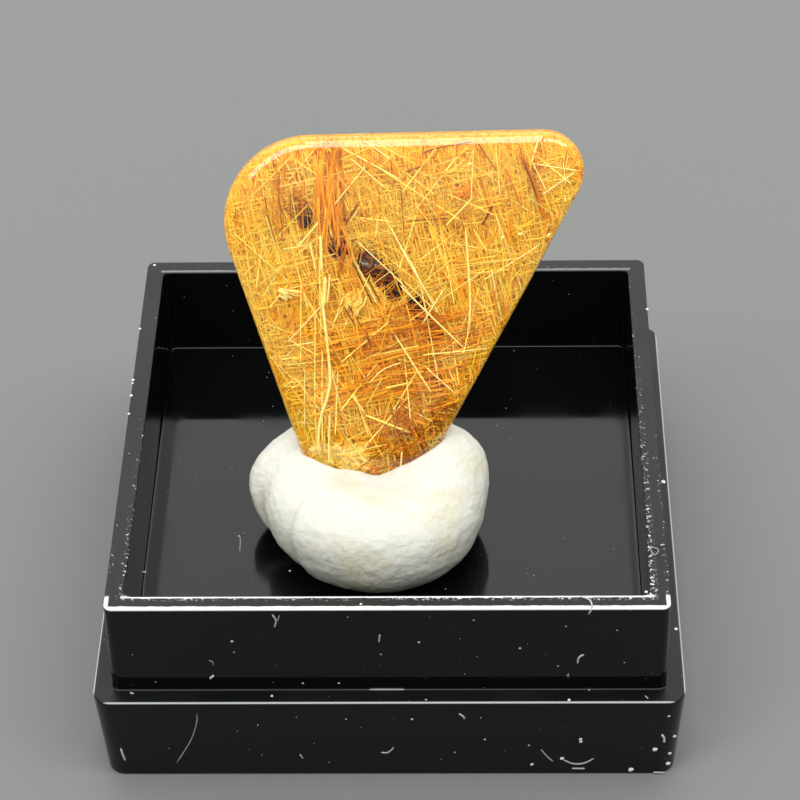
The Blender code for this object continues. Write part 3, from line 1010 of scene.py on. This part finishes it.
    def scatter_tree(self) -> bpy.types.NodeTree:
        """A tree that fills part of the slab with needles, each cut short where it would leave the stone.

        Returns:
            The tree, whose geometry input is the slab's skin.
        """
        tree = bpy.data.node_groups.new("rutile growth", "GeometryNodeTree")
        kinds = {
            "Geometry": "Geometry", "Needle": "Object", "Windows": "Object", "Material": "Material",
            "Count": "Int", "Low Corner": "Vector", "High Corner": "Vector", "Deepest": "Float",
            "Shallowest": "Float", "Heading": "Vector", "Wander": "Vector", "Shortest": "Float",
            "Longest": "Float", "Thinnest": "Float", "Thickest": "Float", "Darkest": "Float",
            "Palest": "Float", "Window": "Float", "Roll": "Float", "Seed": "Int",
        }
        given = add_inputs(tree, kinds).outputs
        add = partial(add_node, tree)
        seeds = [add(MATH, [given["Seed"], float(step)], operation="ADD") for step in range(7)]
        rays = {"Target Geometry": given["Geometry"], "Ray Length": 1.0}
        forward, backward = (0.0, -1.0, 0.0), (0.0, 1.0, 0.0)
        any_way = {0: (-1.0, -1.0, -1.0), 1: (1.0, 1.0, 1.0)}

        # Points at random in the box, each moved to its share of the way to the front face.
        feeds = {0: given["Low Corner"], 1: given["High Corner"], "Seed": seeds[0]}
        spots = add(RANDOM, feeds, data_type="FLOAT_VECTOR")
        points = add("GeometryNodePoints", {"Count": given["Count"], "Position": spots})
        front = add(RAYCAST, {**rays, "Ray Direction": forward}).outputs
        out = add(VECTOR_MATH, [front["Hit Normal"], forward], operation="DOT_PRODUCT").outputs["Value"]
        thick = add(MATH, [front["Hit Distance"], out], operation="MULTIPLY")
        within = add(MATH, [thick, self.rim_clear * MM], operation="GREATER_THAN")
        share = add(RANDOM, {2: given["Deepest"], 3: given["Shallowest"], "Seed": seeds[1]}).outputs[1]
        depth = add(MATH, [share, front["Hit Distance"]], operation="MULTIPLY")
        offset = add(VECTOR_MATH, {0: forward, "Scale": depth}, operation="SCALE")
        points = add(STORE, {"Geometry": points, "Name": "within", "Value": within}, data_type="FLOAT")
        points = add("GeometryNodeSetPosition", {"Geometry": points, "Offset": offset})

        # Each needle's way and length, cut short at both ends where it nears the surface.
        sway = add(RANDOM, {**any_way, "Seed": seeds[2]}, data_type="FLOAT_VECTOR")
        leaning = add(VECTOR_MATH, [sway, given["Wander"], given["Heading"]], operation="MULTIPLY_ADD")
        ahead = add(VECTOR_MATH, [leaning], operation="NORMALIZE")
        behind = add(VECTOR_MATH, {0: ahead, "Scale": -1.0}, operation="SCALE")
        wanted = add(RANDOM, {2: given["Shortest"], 3: given["Longest"], "Seed": seeds[3]}).outputs[1]
        half = add(MATH, [wanted, 0.5], operation="MULTIPLY")
        reaches = []
        for way in (ahead, behind):
            room = add(RAYCAST, {**rays, "Ray Direction": way}).outputs["Hit Distance"]
            room = add(MATH, [room, self.skin_clear * MM], operation="SUBTRACT")
            reaches.append(add(MATH, [room, half], operation="MINIMUM"))
        whole = add(MATH, reaches, operation="ADD")
        axis = add(VECTOR_MATH, {0: ahead, "Scale": whole}, operation="SCALE")
        slip = add(MATH, [add(MATH, reaches, operation="SUBTRACT"), 0.5], operation="MULTIPLY")
        shift = add(VECTOR_MATH, {0: ahead, "Scale": slip}, operation="SCALE")
        tint = add(RANDOM, {2: given["Darkest"], 3: given["Palest"], "Seed": seeds[4]}).outputs[1]
        for name, value, kind in (("axis", axis, "FLOAT_VECTOR"), ("tint", tint, "FLOAT")):
            points = add(STORE, {"Geometry": points, "Name": name, "Value": value}, data_type=kind)
        points = add("GeometryNodeSetPosition", {"Geometry": points, "Offset": shift})

        # A needle is kept where it misses every window, as seen from the front and above.
        axis = add(ATTRIBUTE, {"Name": "axis"}, data_type="FLOAT_VECTOR")
        kept = add(ATTRIBUTE, {"Name": "within"})
        spot = add("GeometryNodeInputPosition")
        panes = add(OBJECT_INFO, {"Object": given["Windows"]}).outputs["Geometry"]
        for share in self.tries:
            along = add(VECTOR_MATH, {0: axis, "Scale": share}, operation="SCALE")
            parts = add(SPLIT, [add(VECTOR_MATH, [along, spot], operation="ADD")]).outputs
            rise = add(MATH, [parts["Y"], self.sight_rise], operation="MULTIPLY")
            seen_up = add(MATH, [parts["Z"], rise], operation="ADD")
            flat = add("ShaderNodeCombineXYZ", {"X": parts["X"], "Z": seen_up})
            feeds = {"Geometry": panes, "Sample Position": flat}
            clear = add("GeometryNodeProximity", feeds, target_element="POINTS").outputs["Distance"]
            clear = add(MATH, [clear, given["Window"]], operation="GREATER_THAN")
            kept = add(MATH, [kept, clear], operation="MULTIPLY")
        long = add(VECTOR_MATH, [axis], operation="LENGTH").outputs["Value"]
        enough = add(MATH, [long, self.shortest * MM], operation="GREATER_THAN")
        kept = add(MATH, [kept, enough], operation="MULTIPLY")

        # Each needle stands along its way and turns its broad side roughly to the front.
        girth = add(RANDOM, {2: given["Thinnest"], 3: given["Thickest"], "Seed": seeds[5]}).outputs[1]
        size = add("ShaderNodeCombineXYZ", [girth, girth, long])
        upright = add(ALIGN, {"Vector": axis}, axis="Z")
        loose = add(RANDOM, {**any_way, "Seed": seeds[6]}, data_type="FLOAT_VECTOR")
        loose = add(VECTOR_MATH, {0: loose, "Scale": given["Roll"]}, operation="SCALE")
        away = add(VECTOR_MATH, [loose, backward], operation="ADD")
        turned = add(ALIGN, {"Rotation": upright, "Vector": away}, axis="Y", pivot_axis="Z")
        unit = add(OBJECT_INFO, {"Object": given["Needle"]}).outputs["Geometry"]
        feeds = {"Points": points, "Selection": kept, "Instance": unit, "Rotation": turned, "Scale": size}
        end_tree(tree, add("GeometryNodeInstanceOnPoints", feeds), given["Material"], ("axis", "within"))
        return tree

    def strand_lines(self) -> bpy.types.Mesh:
        """Draw the single needles' middle lines.

        Returns:
            The mesh of edges.
        """
        lines = []
        for strand in self.strands:
            spots = [self.slab.seat(across, up, strand.share) for across, up in strand.points]
            lines.append((spots, strand.width * MM, sum(strand.tone.value) / 2))
        return thread_lines("rutile_singles", lines)

    def finish_piece(self, piece: bpy.types.Object) -> bpy.types.Object:
        """Lean a piece back with the stone and fix it to the body.

        Args:
            piece: the needles, in the slab's own space.

        Returns:
            The same object.
        """
        piece.data.transform(self.slab.pose())
        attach(piece, "root")
        return piece

    def build(self) -> list[bpy.types.Object]:
        """Grow every kind of needle.

        Returns:
            The finished objects.
        """
        material = self.finish.material()
        pointed, blade = self.unit_needle("pointed needle", self.shoulder), self.unit_needle("blade", 0.5)
        panes = self.window_points()
        tree = self.scatter_tree()
        made = []
        for growth in self.growths:
            piece = place(growth.name, self.slab.skin(growth.name, *self.skin_points))
            low, high = growth.low, growth.high
            values = {
                "Needle": pointed if growth.pointed else blade, "Windows": panes, "Material": material,
                "Count": growth.count, "Low Corner": [low[0] * MM, 0.0, low[2] * MM],
                "High Corner": [high[0] * MM, 0.0, high[2] * MM], "Deepest": low[1], "Shallowest": high[1],
                "Heading": list(growth.heading), "Wander": list(growth.wander),
                "Shortest": growth.length[0] * MM, "Longest": growth.length[1] * MM,
                "Thinnest": growth.width[0] * MM, "Thickest": growth.width[1] * MM,
                "Darkest": growth.tone.value[0], "Palest": growth.tone.value[1],
                "Window": growth.window * MM, "Roll": growth.roll, "Seed": growth.seed,
            }
            run_tree(piece, tree, values)
            made.append(self.finish_piece(piece))
        singles = place("rutile_singles", self.strand_lines())
        run_tree(singles, thread_tree(), {"Sides": THREAD_SIDES, "Material": material})
        made.append(self.finish_piece(singles))
        discard(pointed, blade, panes)
        return made


@dataclass
class Putty:
    """The lump of putty that holds the stone, pressed flat on the tray's floor."""

    slab: Slab
    centre: Vector = field(default_factory=lambda: Vector((-0.9, -3.05, 8.85)) * MM)
    radii: tuple[float, float, float] = (5.95, 5.25, 3.2)  # mm
    power: float = 2.4  # the lump's superellipsoid
    columns: int = 240
    rows: int = 130
    floor: float = 6.2 * MM
    dent: float = 0.05  # mm
    dents: tuple = ((1.1, 1.0), (2.7, 0.5))  # each layer of finger dents: how many to the mm and its share
    lobes: tuple = (  # the way each lies from the centre, its height in mm and how sharp it is
        ((-0.92, 0.22, 0.05), 1.3, 11.0), ((-0.55, 0.5, 0.7), 1.4, 9.0), ((0.72, 0.27, 0.53), 1.45, 7.0),
        ((0.05, -0.3, 0.95), -0.9, 5.3), ((0.1, -0.95, -0.25), 0.7, 4.0), ((-0.52, -0.3, 0.8), -0.35, 30.0),
    )
    creases: tuple = (  # the way each crease's plane faces, its depth in mm and its width before and behind
        ((-0.08, 0.87, -0.48), 0.43, 0.14, 0.05), ((0.6, -0.73, 0.33), 0.2, 0.25, 0.05),
    )
    crease_start: float = 0.25  # how far left the creases begin and are full, of 1
    crease_full: float = 0.6
    pocket_points: tuple[int, int] = (152, 40)  # the ribs and rings of the pocket's cutter
    pocket_play: float = 0.02  # mm
    sharp: float = math.radians(50)
    finish: MountingPutty = MountingPutty()

    def reach(self, ways: np.ndarray) -> np.ndarray:
        """How far the putty goes from its centre in each direction, in mm.

        Args:
            ways: unit vectors.

        Returns:
            The distances.
        """
        shares = np.abs(ways) / np.array(self.radii)
        far = (shares**self.power).sum(axis=-1) ** (-1 / self.power)
        for towards, height, sharpness in self.lobes:
            lobe = np.array(towards) / np.linalg.norm(towards)
            far = far + height * np.exp(sharpness * (ways @ lobe - 1))
        left = np.clip((-ways[..., 0] - self.crease_start) / (self.crease_full - self.crease_start), 0.0, 1.0)
        for plane, depth, before, behind in self.creases:
            side = ways @ (np.array(plane) / np.linalg.norm(plane))
            width = np.where(side > 0, behind, before)
            far = far - depth * left * np.exp(-((side / width) ** 2))
        return far

    def skin(self) -> bpy.types.Mesh:
        """Make the whole lump, with finger dents, before the stone is pressed in.

        Returns:
            The mesh.
        """
        lift = np.linspace(0.0, math.pi, self.rows + 1)[1:-1]
        turn = np.linspace(0.0, math.tau, self.columns, endpoint=False)
        around = np.stack([np.cos(turn), np.sin(turn)], axis=-1)
        ways = np.empty((len(lift), self.columns, 3))
        ways[..., :2] = np.sin(lift)[:, None, None] * around
        ways[..., 2] = np.cos(lift)[:, None]
        points = np.array(self.centre) + ways * self.reach(ways)[..., None] * MM
        for ring, directions in zip(points, ways):
            for index, point in enumerate(ring):
                dent = sum(share * noise.noise(Vector(point) / MM * rate) for rate, share in self.dents)
                point += directions[index] * dent * self.dent * MM
        points[..., 2] = np.maximum(points[..., 2], self.floor)
        top = np.array(self.centre)
        top[2] += self.reach(np.array((0.0, 0.0, 1.0))) * MM
        bottom = np.array(self.centre)
        bottom[2] = self.floor
        return loft("putty_lump", points, Vector(top), Vector(bottom))

    def build(self) -> bpy.types.Object:
        """Press the stone's pocket in the lump and dress it.

        Returns:
            The finished object.
        """
        piece = place("putty_lump", self.skin())
        pocket = place("pocket", self.slab.skin("pocket", *self.pocket_points, grow=self.pocket_play))
        pocket.data.transform(self.slab.pose())
        cut = piece.modifiers.new("pocket", "BOOLEAN")
        cut.operation = "DIFFERENCE"
        cut.solver = "EXACT"
        cut.object = pocket
        bake_modifiers(piece)
        discard(pocket)
        piece.data.shade_smooth()
        piece.data.set_sharp_from_angle(angle=self.sharp)
        piece.data.materials.clear()
        piece.data.materials.append(self.finish.material())
        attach(piece, "root")
        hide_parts("putty")
        return piece


@dataclass
class DisplayBase:
    """The box base: a skirt, a ledge for the lid and a raised rim round the tray, in one moulding."""

    skirt_bottom: float = 31.3  # mm, as all that follow
    skirt_top: float = 32.05
    skirt_corner: float = 1.0
    ledge_z: float = 6.05
    rim_side: float = 30.0
    rim_corner: float = 0.45
    rim_z: float = 12.1
    wall: float = 1.02
    floor_z: float = 6.19
    floor_thickness: float = 1.1
    cap_margin: float = 1.0  # from a cap's fan to the wall beside it
    edge_round: float = 0.1
    beside_corner: float = 0.15  # from a corner's round to the next point on the side
    least_corner: float = 0.08
    edge_points: int = 5
    corner_points: int = 9
    finish: BlackPolystyrene = BlackPolystyrene()

    def ring(self, half: float, corner: float, height: float) -> np.ndarray:
        """A rounded square at one height.

        Args:
            half: half its side, in mm.
            corner: its corners' radius, in mm.
            height: in mm.

        Returns:
            Its points, always as many, in mm.
        """
        centre = half - corner
        beside = min(self.beside_corner, centre / 4)
        sides = [centre - beside, centre * 0.5, 0.0, -centre * 0.5, beside - centre]
        points = []
        for quarter in range(4):
            turn = quarter * math.pi / 2
            bends = np.linspace(0.0, math.pi / 2, self.corner_points)
            along = [(centre + corner * math.cos(bend), centre + corner * math.sin(bend)) for bend in bends]
            along += [(side, half) for side in sides]
            spin = np.array(((math.cos(turn), math.sin(turn)), (-math.sin(turn), math.cos(turn))))
            points += [(*(np.array(point) @ spin), height) for point in along]
        return np.array(points)

    def profile(self) -> list[tuple[float, float, float]]:
        """The wall's section with its edges rounded, from the hollow's roof round to the tray's floor.

        Returns:
            Half side, corner radius and height at each station, in mm.
        """
        low, high = self.skirt_bottom / 2, self.skirt_top / 2
        rim, well = self.rim_side / 2, self.rim_side / 2 - self.wall
        roof = self.floor_z - self.floor_thickness
        path = [
            (high - self.wall - self.cap_margin, self.skirt_corner / 2, roof),
            (high - self.wall, self.skirt_corner / 2, roof),
            (low - self.wall, self.skirt_corner / 2, 0.0),
            (low, self.skirt_corner, 0.0),
            (high, self.skirt_corner, self.ledge_z),
            (rim, self.rim_corner, self.ledge_z),
            (rim, self.rim_corner, self.rim_z),
            (well, self.rim_corner, self.rim_z),
            (well, self.rim_corner, self.floor_z),
            (well - self.cap_margin, self.rim_corner, self.floor_z),
        ]
        stations = [path[0]]
        for before, here, after in zip(path, path[1:], path[2:]):
            middle = np.array((here[0], here[2]))
            back = np.array((before[0], before[2])) - middle
            ahead = np.array((after[0], after[2])) - middle
            back /= np.linalg.norm(back)
            ahead /= np.linalg.norm(ahead)
            start, end = middle + back * self.edge_round, middle + ahead * self.edge_round
            bend = [start + back * self.edge_round]
            for share in np.linspace(0.0, 1.0, self.edge_points):
                bend.append((1 - share) ** 2 * start + 2 * share * (1 - share) * middle + share**2 * end)
            bend.append(end + ahead * self.edge_round)
            for half, height in bend:
                stations.append((half, max(here[1] + half - here[0], self.least_corner), height))
        return stations + [path[-1]]

    def build(self) -> bpy.types.Object:
        """Make the moulding and dress it.

        Returns:
            The finished object.
        """
        rings = np.array([self.ring(*station) for station in self.profile()]) * MM
        roof = self.floor_z - self.floor_thickness
        mesh = loft("display_base", rings, Vector((0, 0, roof)) * MM, Vector((0, 0, self.floor_z)) * MM)
        piece = place("display_base", mesh)
        mesh.materials.append(self.finish.material())
        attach(piece, "root")
        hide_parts("tray")
        return piece


@dataclass
class Dust:
    """Dust grains and lint on the base: fine ones scattered, and the plain ones where they lie."""

    base: bpy.types.Object
    density: float = 0.14  # strewn grains on each square mm
    sizes: tuple[float, float] = (0.03, 0.08)  # mm
    palest: float = 0.55  # the strewn grains' greatest tint
    seed: int = 5
    lumps: float = 3.0  # how many lumps across a grain
    lump_height: float = 0.16  # for a grain one wide
    flatness: float = 0.4  # a grain's thickness, for one a unit wide
    shelf: float = 5.9  # mm, above which dust lies anywhere
    beside: float = 15.5  # mm from the middle, beyond which it lies lower down too, on the skirt
    lowest: float = 0.6  # mm, the dust's range on the skirt
    side: float = 15.95  # mm from the middle, short of the painted highlight line on the ledge's edge
    levels: tuple[float, ...] = (6.2, 12.1, 6.08)  # mm, the level places where plain grains lie
    level_within: float = 0.1  # mm
    grain_tint: tuple[float, float, float] = (0.1, 3.5, 0.9)  # to start with, for each mm across, and at most
    fibre_tint: float = 4.0  # for each mm across
    grains: tuple = (  # each plain grain's place and its size, in mm
        (-13.94, -5.96, 6.2, 0.16), (-5.74, -5.92, 6.2, 0.15), (-8.79, -3.02, 6.2, 0.12), (-1.35, -14.61, 12.1, 0.16),
        (13.73, -13.75, 12.1, 0.18), (-8.28, -15.01, 9.75, 0.16), (-8.22, -15.01, 8.92, 0.1),
        (-0.36, -15.01, 8.74, 0.1), (-4.62, -15.01, 6.53, 0.13), (-2.68, -15.01, 6.53, 0.13),
        (1.68, -15.01, 9.64, 0.14), (7.06, -15.01, 9.17, 0.14), (4.61, -15.01, 11.28, 0.1),
        (9.48, -15.01, 10.81, 0.1), (12.19, -15.01, 10.5, 0.09), (9.11, -15.01, 7.8, 0.1), (9.66, -15.01, 7.1, 0.12),
        (-6.3, -15.5, 6.06, 0.16), (9.71, -15.84, 6.06, 0.18), (2.02, -15.8, 6.06, 0.12), (10.81, -15.1, 6.06, 0.1),
        (-5.01, -15.94, 4.9, 0.11), (-2.32, -15.93, 4.7, 0.13), (1.25, -15.94, 4.7, 0.16), (10.42, -15.84, 2.8, 0.2),
        (10.4, -15.85, 3.0, 0.2), (5.19, -15.85, 2.99, 0.13), (9.42, -15.74, 1.35, 0.24), (7.78, -15.71, 0.84, 0.2),
        (7.6, -15.81, 2.48, 0.12), (14.48, -15.79, 2.12, 0.3), (15.1, -15.92, 4.9, 0.2), (15.5, -15.83, 3.2, 0.2),
        (15.3, -15.77, 1.77, 0.2), (15.25, -15.72, 0.91, 0.26), (13.23, -15.68, 0.39, 0.32),
        (3.55, -15.78, 1.89, 0.1), (-7.13, -15.91, 4.22, 0.1), (4.98, -15.94, 4.8, 0.1), (15.7, 1.6, 6.08, 0.3),
        (15.75, -10.5, 6.08, 0.22), (-14.98, 3.9, 12.08, 0.2), (-14.98, 3.6, 12.08, 0.16), (-14.97, 2.5, 12.08, 0.2),
        (-14.97, 0.9, 12.08, 0.18), (-14.97, 8.6, 12.08, 0.18), (-14.6, 14.7, 12.09, 0.2), (14.97, 10.2, 12.08, 0.2),
    )
    fibres: tuple = (  # the points along each fibre and its width, in mm
        (((-6.05, -15.03, 11.76), (-5.86, -15.03, 11.32), (-5.97, -15.03, 10.79)), 0.1),
        (((-5.66, -15.03, 11.69), (-5.79, -15.03, 11.24)), 0.07),
        (((10.48, -15.03, 8.7), (10.22, -15.03, 8.48), (10.15, -15.03, 8.02)), 0.11),
        (((-9.6, -15.02, 8.32), (-9.39, -15.02, 8.16), (-9.41, -15.02, 7.93)), 0.06),
        (((-9.63, -15.03, 6.93), (-9.4, -15.03, 7.17)), 0.13),
        (((-0.45, -15.02, 9.65), (-0.38, -15.02, 10.25)), 0.1),
        (((10.22, -14.13, 12.13), (10.69, -14.36, 12.14), (10.83, -14.88, 12.13), (10.65, -15.02, 11.7)), 0.11),
        (((13.8, -15.56, 6.08), (13.95, -15.78, 6.08)), 0.08),
        (((-14.0, -15.25, 6.08), (-13.78, -15.33, 6.08)), 0.1),
        # A straight white thread lies on the ledge along the foot of the front wall, over a short bright white line
        # there.
        (((-1.1, -15.06, 6.08), (0.9, -15.06, 6.08)), 0.09),
        (((-10.38, -15.97, 5.2), (-10.43, -15.94, 4.48), (-10.86, -15.85, 2.95), (-11.76, -15.74, 1.06)), 0.07),
        (((-14.75, -15.81, 2.28), (-14.69, -15.78, 1.76), (-14.59, -15.75, 1.24)), 0.13),
        (((-4.95, -15.78, 1.74), (-4.8, -15.76, 1.39)), 0.09),
        (((-0.5, -15.79, 1.9), (-0.12, -15.78, 1.88), (0.22, -15.81, 2.32)), 0.09),
        (((3.79, -15.96, 5.15), (4.0, -15.95, 4.95), (4.1, -15.93, 4.7)), 0.12),
        (((8.26, -15.8, 2.13), (8.59, -15.76, 1.53), (8.93, -15.74, 1.1)), 0.08),
        (((9.47, -15.75, 1.27), (9.97, -15.73, 0.92), (10.58, -15.73, 0.92), (11.17, -15.75, 1.35)), 0.09),
        (((9.98, -15.7, 0.49), (10.7, -15.7, 0.48)), 0.1),
        (((14.8, -15.88, 3.39), (14.94, -15.87, 3.05), (14.94, -15.84, 2.71)), 0.14),
        (((14.45, -15.68, 0.13), (15.1, -15.67, 0.1)), 0.1),
        (((-8.73, -3.02, 6.21), (-8.67, -3.52, 6.21), (-8.66, -4.35, 6.21)), 0.07),
        (((14.1, -10.3, 12.13), (14.55, -10.55, 12.13), (14.3, -11.0, 12.13), (14.12, -10.5, 12.13)), 0.07),
        (((14.66, -10.2, 12.13), (14.9, -10.15, 12.13)), 0.1),
    )
    finish: Lint = Lint()

    def grain(self) -> bpy.types.Object:
        """Make a grain one unit wide, flat against what it lies on.

        Returns:
            A helper object, which isn't in the scene's collections.
        """
        noise.seed_set(self.seed)  # noise_vector moves its field by this seed, and by the clock without one
        mesh = bmesh.new()
        bmesh.ops.create_icosphere(mesh, subdivisions=1, radius=0.5)
        for spot in mesh.verts:
            spot.co += noise.noise_vector(spot.co * self.lumps) * self.lump_height
            spot.co.z *= self.flatness
        return bpy.data.objects.new("grain", finished(mesh, "grain"))

    def scatter_tree(self) -> bpy.types.NodeTree:
        """Strew grains over the base's outside and its tray, but not inside its hollow.

        Returns:
            The tree, whose geometry input is the base.
        """
        tree = bpy.data.node_groups.new("dust", "GeometryNodeTree")
        kinds = {
            "Geometry": "Geometry", "Grain": "Object", "Material": "Material", "Density": "Float",
            "Smallest": "Float", "Largest": "Float", "Palest": "Float", "Seed": "Int",
        }
        given = add_inputs(tree, kinds).outputs
        add = partial(add_node, tree)
        feeds = {"Mesh": given["Geometry"], "Density": given["Density"], "Seed": given["Seed"]}
        strewn = add("GeometryNodeDistributePointsOnFaces", feeds).outputs
        parts = add(SPLIT, [add("GeometryNodeInputPosition")]).outputs
        reach = square_reach(tree, parts)
        high, beside, clear_of_foot, on_base = (
            add(MATH, [measure, limit * MM], operation=operation)
            for measure, operation, limit in (
                (parts["Z"], "GREATER_THAN", self.shelf), (reach, "GREATER_THAN", self.beside),
                (parts["Z"], "GREATER_THAN", self.lowest), (reach, "LESS_THAN", self.side),
            )
        )
        skirt = add(MATH, [beside, clear_of_foot], operation="MULTIPLY")
        kept = add(MATH, [high, skirt], operation="MAXIMUM")
        kept = add(MATH, [kept, on_base], operation="MULTIPLY")
        size = add(RANDOM, {2: given["Smallest"], 3: given["Largest"], "Seed": given["Seed"]}).outputs[1]
        unit = add(OBJECT_INFO, {"Object": given["Grain"]}).outputs["Geometry"]
        feeds = {
            "Points": strewn["Points"], "Selection": kept, "Instance": unit,
            "Rotation": strewn["Rotation"], "Scale": size,
        }
        made = add("GeometryNodeInstanceOnPoints", feeds)
        next_seed = add(MATH, [given["Seed"], 1.0], operation="ADD")
        tint = add(RANDOM, {2: 0.0, 3: given["Palest"], "Seed": next_seed}).outputs[1]
        feeds = {"Geometry": made, "Name": "tint", "Value": tint}
        made = add(STORE, feeds, data_type="FLOAT", domain="INSTANCE")
        end_tree(tree, made, given["Material"])
        return tree

    def plain_grains(self, grain: bpy.types.Object) -> bpy.types.Mesh:
        """Lay the grains that the photo shows plainly.

        Args:
            grain: a grain one unit wide.

        Returns:
            The mesh of all the grains.
        """
        mesh = bmesh.new()
        for across, away, height, size in self.grains:
            level = any(abs(height - top) < self.level_within for top in self.levels)
            turn = Matrix() if level else Matrix.Rotation(math.pi / 2, 4, "X")
            spot = Matrix.Translation(Vector((across, away, height)) * MM)
            before = len(mesh.verts)
            mesh.from_mesh(grain.data)
            mesh.verts.ensure_lookup_table()
            made = spot @ turn @ Matrix.Scale(size * MM, 4)
            bmesh.ops.transform(mesh, matrix=made, verts=mesh.verts[before:])
        data = finished(mesh, "dust_grains")
        least, for_each_mm, most = self.grain_tint
        each = len(grain.data.vertices)
        tints = [min(most, least + for_each_mm * size) for *_, size in self.grains for _ in range(each)]
        data.attributes.new("tint", "FLOAT", "POINT").data.foreach_set("value", tints)
        return data

    def build(self) -> list[bpy.types.Object]:
        """Lay the dust and the lint.

        Returns:
            The finished objects.
        """
        material = self.finish.material()
        grain = self.grain()
        dust = place("dust_strewn", self.base.data.copy())
        dust.data.materials.clear()
        values = {
            "Grain": grain, "Material": material, "Density": self.density / MM**2,
            "Smallest": self.sizes[0] * MM, "Largest": self.sizes[1] * MM, "Palest": self.palest,
            "Seed": self.seed,
        }
        run_tree(dust, self.scatter_tree(), values)
        grains = place("dust_grains", self.plain_grains(grain))
        grains.data.materials.append(material)
        lines = [
            ([Vector(spot) * MM for spot in points], width * MM, self.fibre_tint * width)
            for points, width in self.fibres
        ]
        lint = place("lint_fibres", thread_lines("lint_fibres", lines))
        run_tree(lint, thread_tree(), {"Sides": THREAD_SIDES, "Material": material})
        discard(grain)
        for piece in (dust, grains, lint):
            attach(piece, "root")
        return [dust, grains, lint]


@dataclass(frozen=True)
class Softbox:
    """One soft lamp that faces straight down: where it hangs, how large it is and how bright its face is."""

    name: str
    place: tuple[float, float, float]  # m
    size: tuple[float, float]  # m
    radiance: float
    turn: float = 0.0  # about the vertical, in degrees


@dataclass
class Studio:
    """A pale floor, soft light and the camera."""

    floor_side: float = 6.0  # m
    diffuse_bounces: int = 7  # light goes from needle to needle more often than usual
    floor_colour: str = "#636563"
    sky_stops: tuple[tuple[float, str], ...] = ((0.0, "#55575A"), (0.2, "#C8CACC"), (0.4, "#FFFFFF"))
    sky_strength: float = 0.86
    sky_behind: float = 2.6  # how much brighter it is behind the object, where the tray's floor mirrors it
    sky_turn: tuple[float, float] = (0.1, 0.7)  # how far back that starts and is full, of 1
    lamps: tuple[Softbox, ...] = (
        Softbox("softbox above", (-0.02, -0.06, 1.0), (0.28, 0.72), 6.2),
        Softbox("softbox on the left", (-0.76, -0.58, 1.0), (1.42, 0.42), 6.2, 30.0),
        Softbox("softbox on the right", (0.6, -0.26, 1.0), (0.84, 0.44), 6.2),
    )
    eye: Vector = field(default_factory=lambda: Vector((4.3006, -124.1213, 119.5540)) * MM)
    pitch: float = math.radians(40.42)
    yaw: float = math.radians(1.74)
    roll: float = math.radians(-1.38)
    lens: float = 130.5
    sensor: float = 36.0
    nearest: float = 0.01  # m, where the camera starts to see

    def build_floor(self) -> None:
        """Lay the floor, which isn't part of the object."""
        mesh = bmesh.new()
        bmesh.ops.create_grid(mesh, x_segments=1, y_segments=1, size=self.floor_side / 2)
        floor = place("studio_floor", finished(mesh, "studio_floor"))
        material, _ = start_material("painted board", self.floor_colour, Roughness=0.7)
        floor.data.materials.append(material)

    def hang(self, softbox: Softbox) -> None:
        """Hang a lamp.

        Args:
            softbox: the lamp.
        """
        lamp = bpy.data.lights.new(softbox.name, "AREA")
        lamp.shape = "RECTANGLE"
        lamp.size, lamp.size_y = softbox.size
        lamp.energy = softbox.radiance * math.pi * lamp.size * lamp.size_y
        holder = bpy.data.objects.new(softbox.name, lamp)
        holder.location = softbox.place
        holder.rotation_euler.z = math.radians(softbox.turn)
        bpy.context.scene.collection.objects.link(holder)

    def light(self) -> None:
        """A soft dome, dimmer towards the horizon, and the soft lamps."""
        world = bpy.data.worlds.new("soft studio")
        world.use_nodes = True
        tree = world.node_tree
        sky = tree.nodes["Background"]
        way = add_node(tree, "ShaderNodeTexCoord").outputs["Generated"]
        axes = add_node(tree, SPLIT, [way]).outputs
        dome = add_node(tree, RAMP, [axes["Z"]])
        set_stops(dome, list(self.sky_stops))
        tree.links.new(dome.outputs[0], sky.inputs["Color"])
        behind = self.sky_strength * self.sky_behind
        strength = add_node(tree, MAP_RANGE, [axes["Y"], *self.sky_turn, self.sky_strength, behind])
        tree.links.new(strength.outputs[0], sky.inputs["Strength"])
        bpy.context.scene.world = world
        for softbox in self.lamps:
            self.hang(softbox)

    def set_camera(self) -> None:
        """The camera, held as for the photograph."""
        right = Vector((math.cos(self.yaw), math.sin(self.yaw), 0.0))
        level = Vector((-math.sin(self.yaw), math.cos(self.yaw), 0.0))
        up = math.sin(self.pitch) * level + math.cos(self.pitch) * Vector((0, 0, 1))
        ahead = math.cos(self.pitch) * level - math.sin(self.pitch) * Vector((0, 0, 1))
        side = math.cos(self.roll) * right + math.sin(self.roll) * up
        top = math.cos(self.roll) * up - math.sin(self.roll) * right
        camera = bpy.data.cameras.new("camera")
        camera.lens = self.lens
        camera.sensor_width = self.sensor
        camera.clip_start = self.nearest
        holder = bpy.data.objects.new("camera", camera)
        turn = Matrix((side, top, -ahead)).transposed().to_4x4()
        holder.matrix_world = Matrix.Translation(self.eye) @ turn
        bpy.context.scene.collection.objects.link(holder)
        bpy.context.scene.camera = holder

    def build(self) -> None:
        """Set up the whole studio."""
        self.build_floor()
        self.light()
        self.set_camera()
        bpy.context.scene.view_settings.view_transform = "Standard"
        bpy.context.scene.cycles.diffuse_bounces = self.diffuse_bounces


def report(piece: bpy.types.Object) -> None:
    """Say what was made and how many triangles it has.

    Args:
        piece: the finished object.
    """
    triangles = sum(len(face.vertices) - 2 for face in piece.data.polygons)
    LOG.info("%s: %d triangles", piece.name, triangles)


def main() -> None:
    """Build the studio and every piece, in order."""
    logging.basicConfig(level=logging.INFO, format="%(message)s")
    Studio().build()
    slab = Slab()
    base = DisplayBase().build()
    report(base)
    for piece in Dust(base).build():
        report(piece)
    report(Putty(slab).build())
    for growth in Needles(slab).build():
        report(growth)
    report(Quartz(slab).build())


if __name__ == "__main__":
    main()
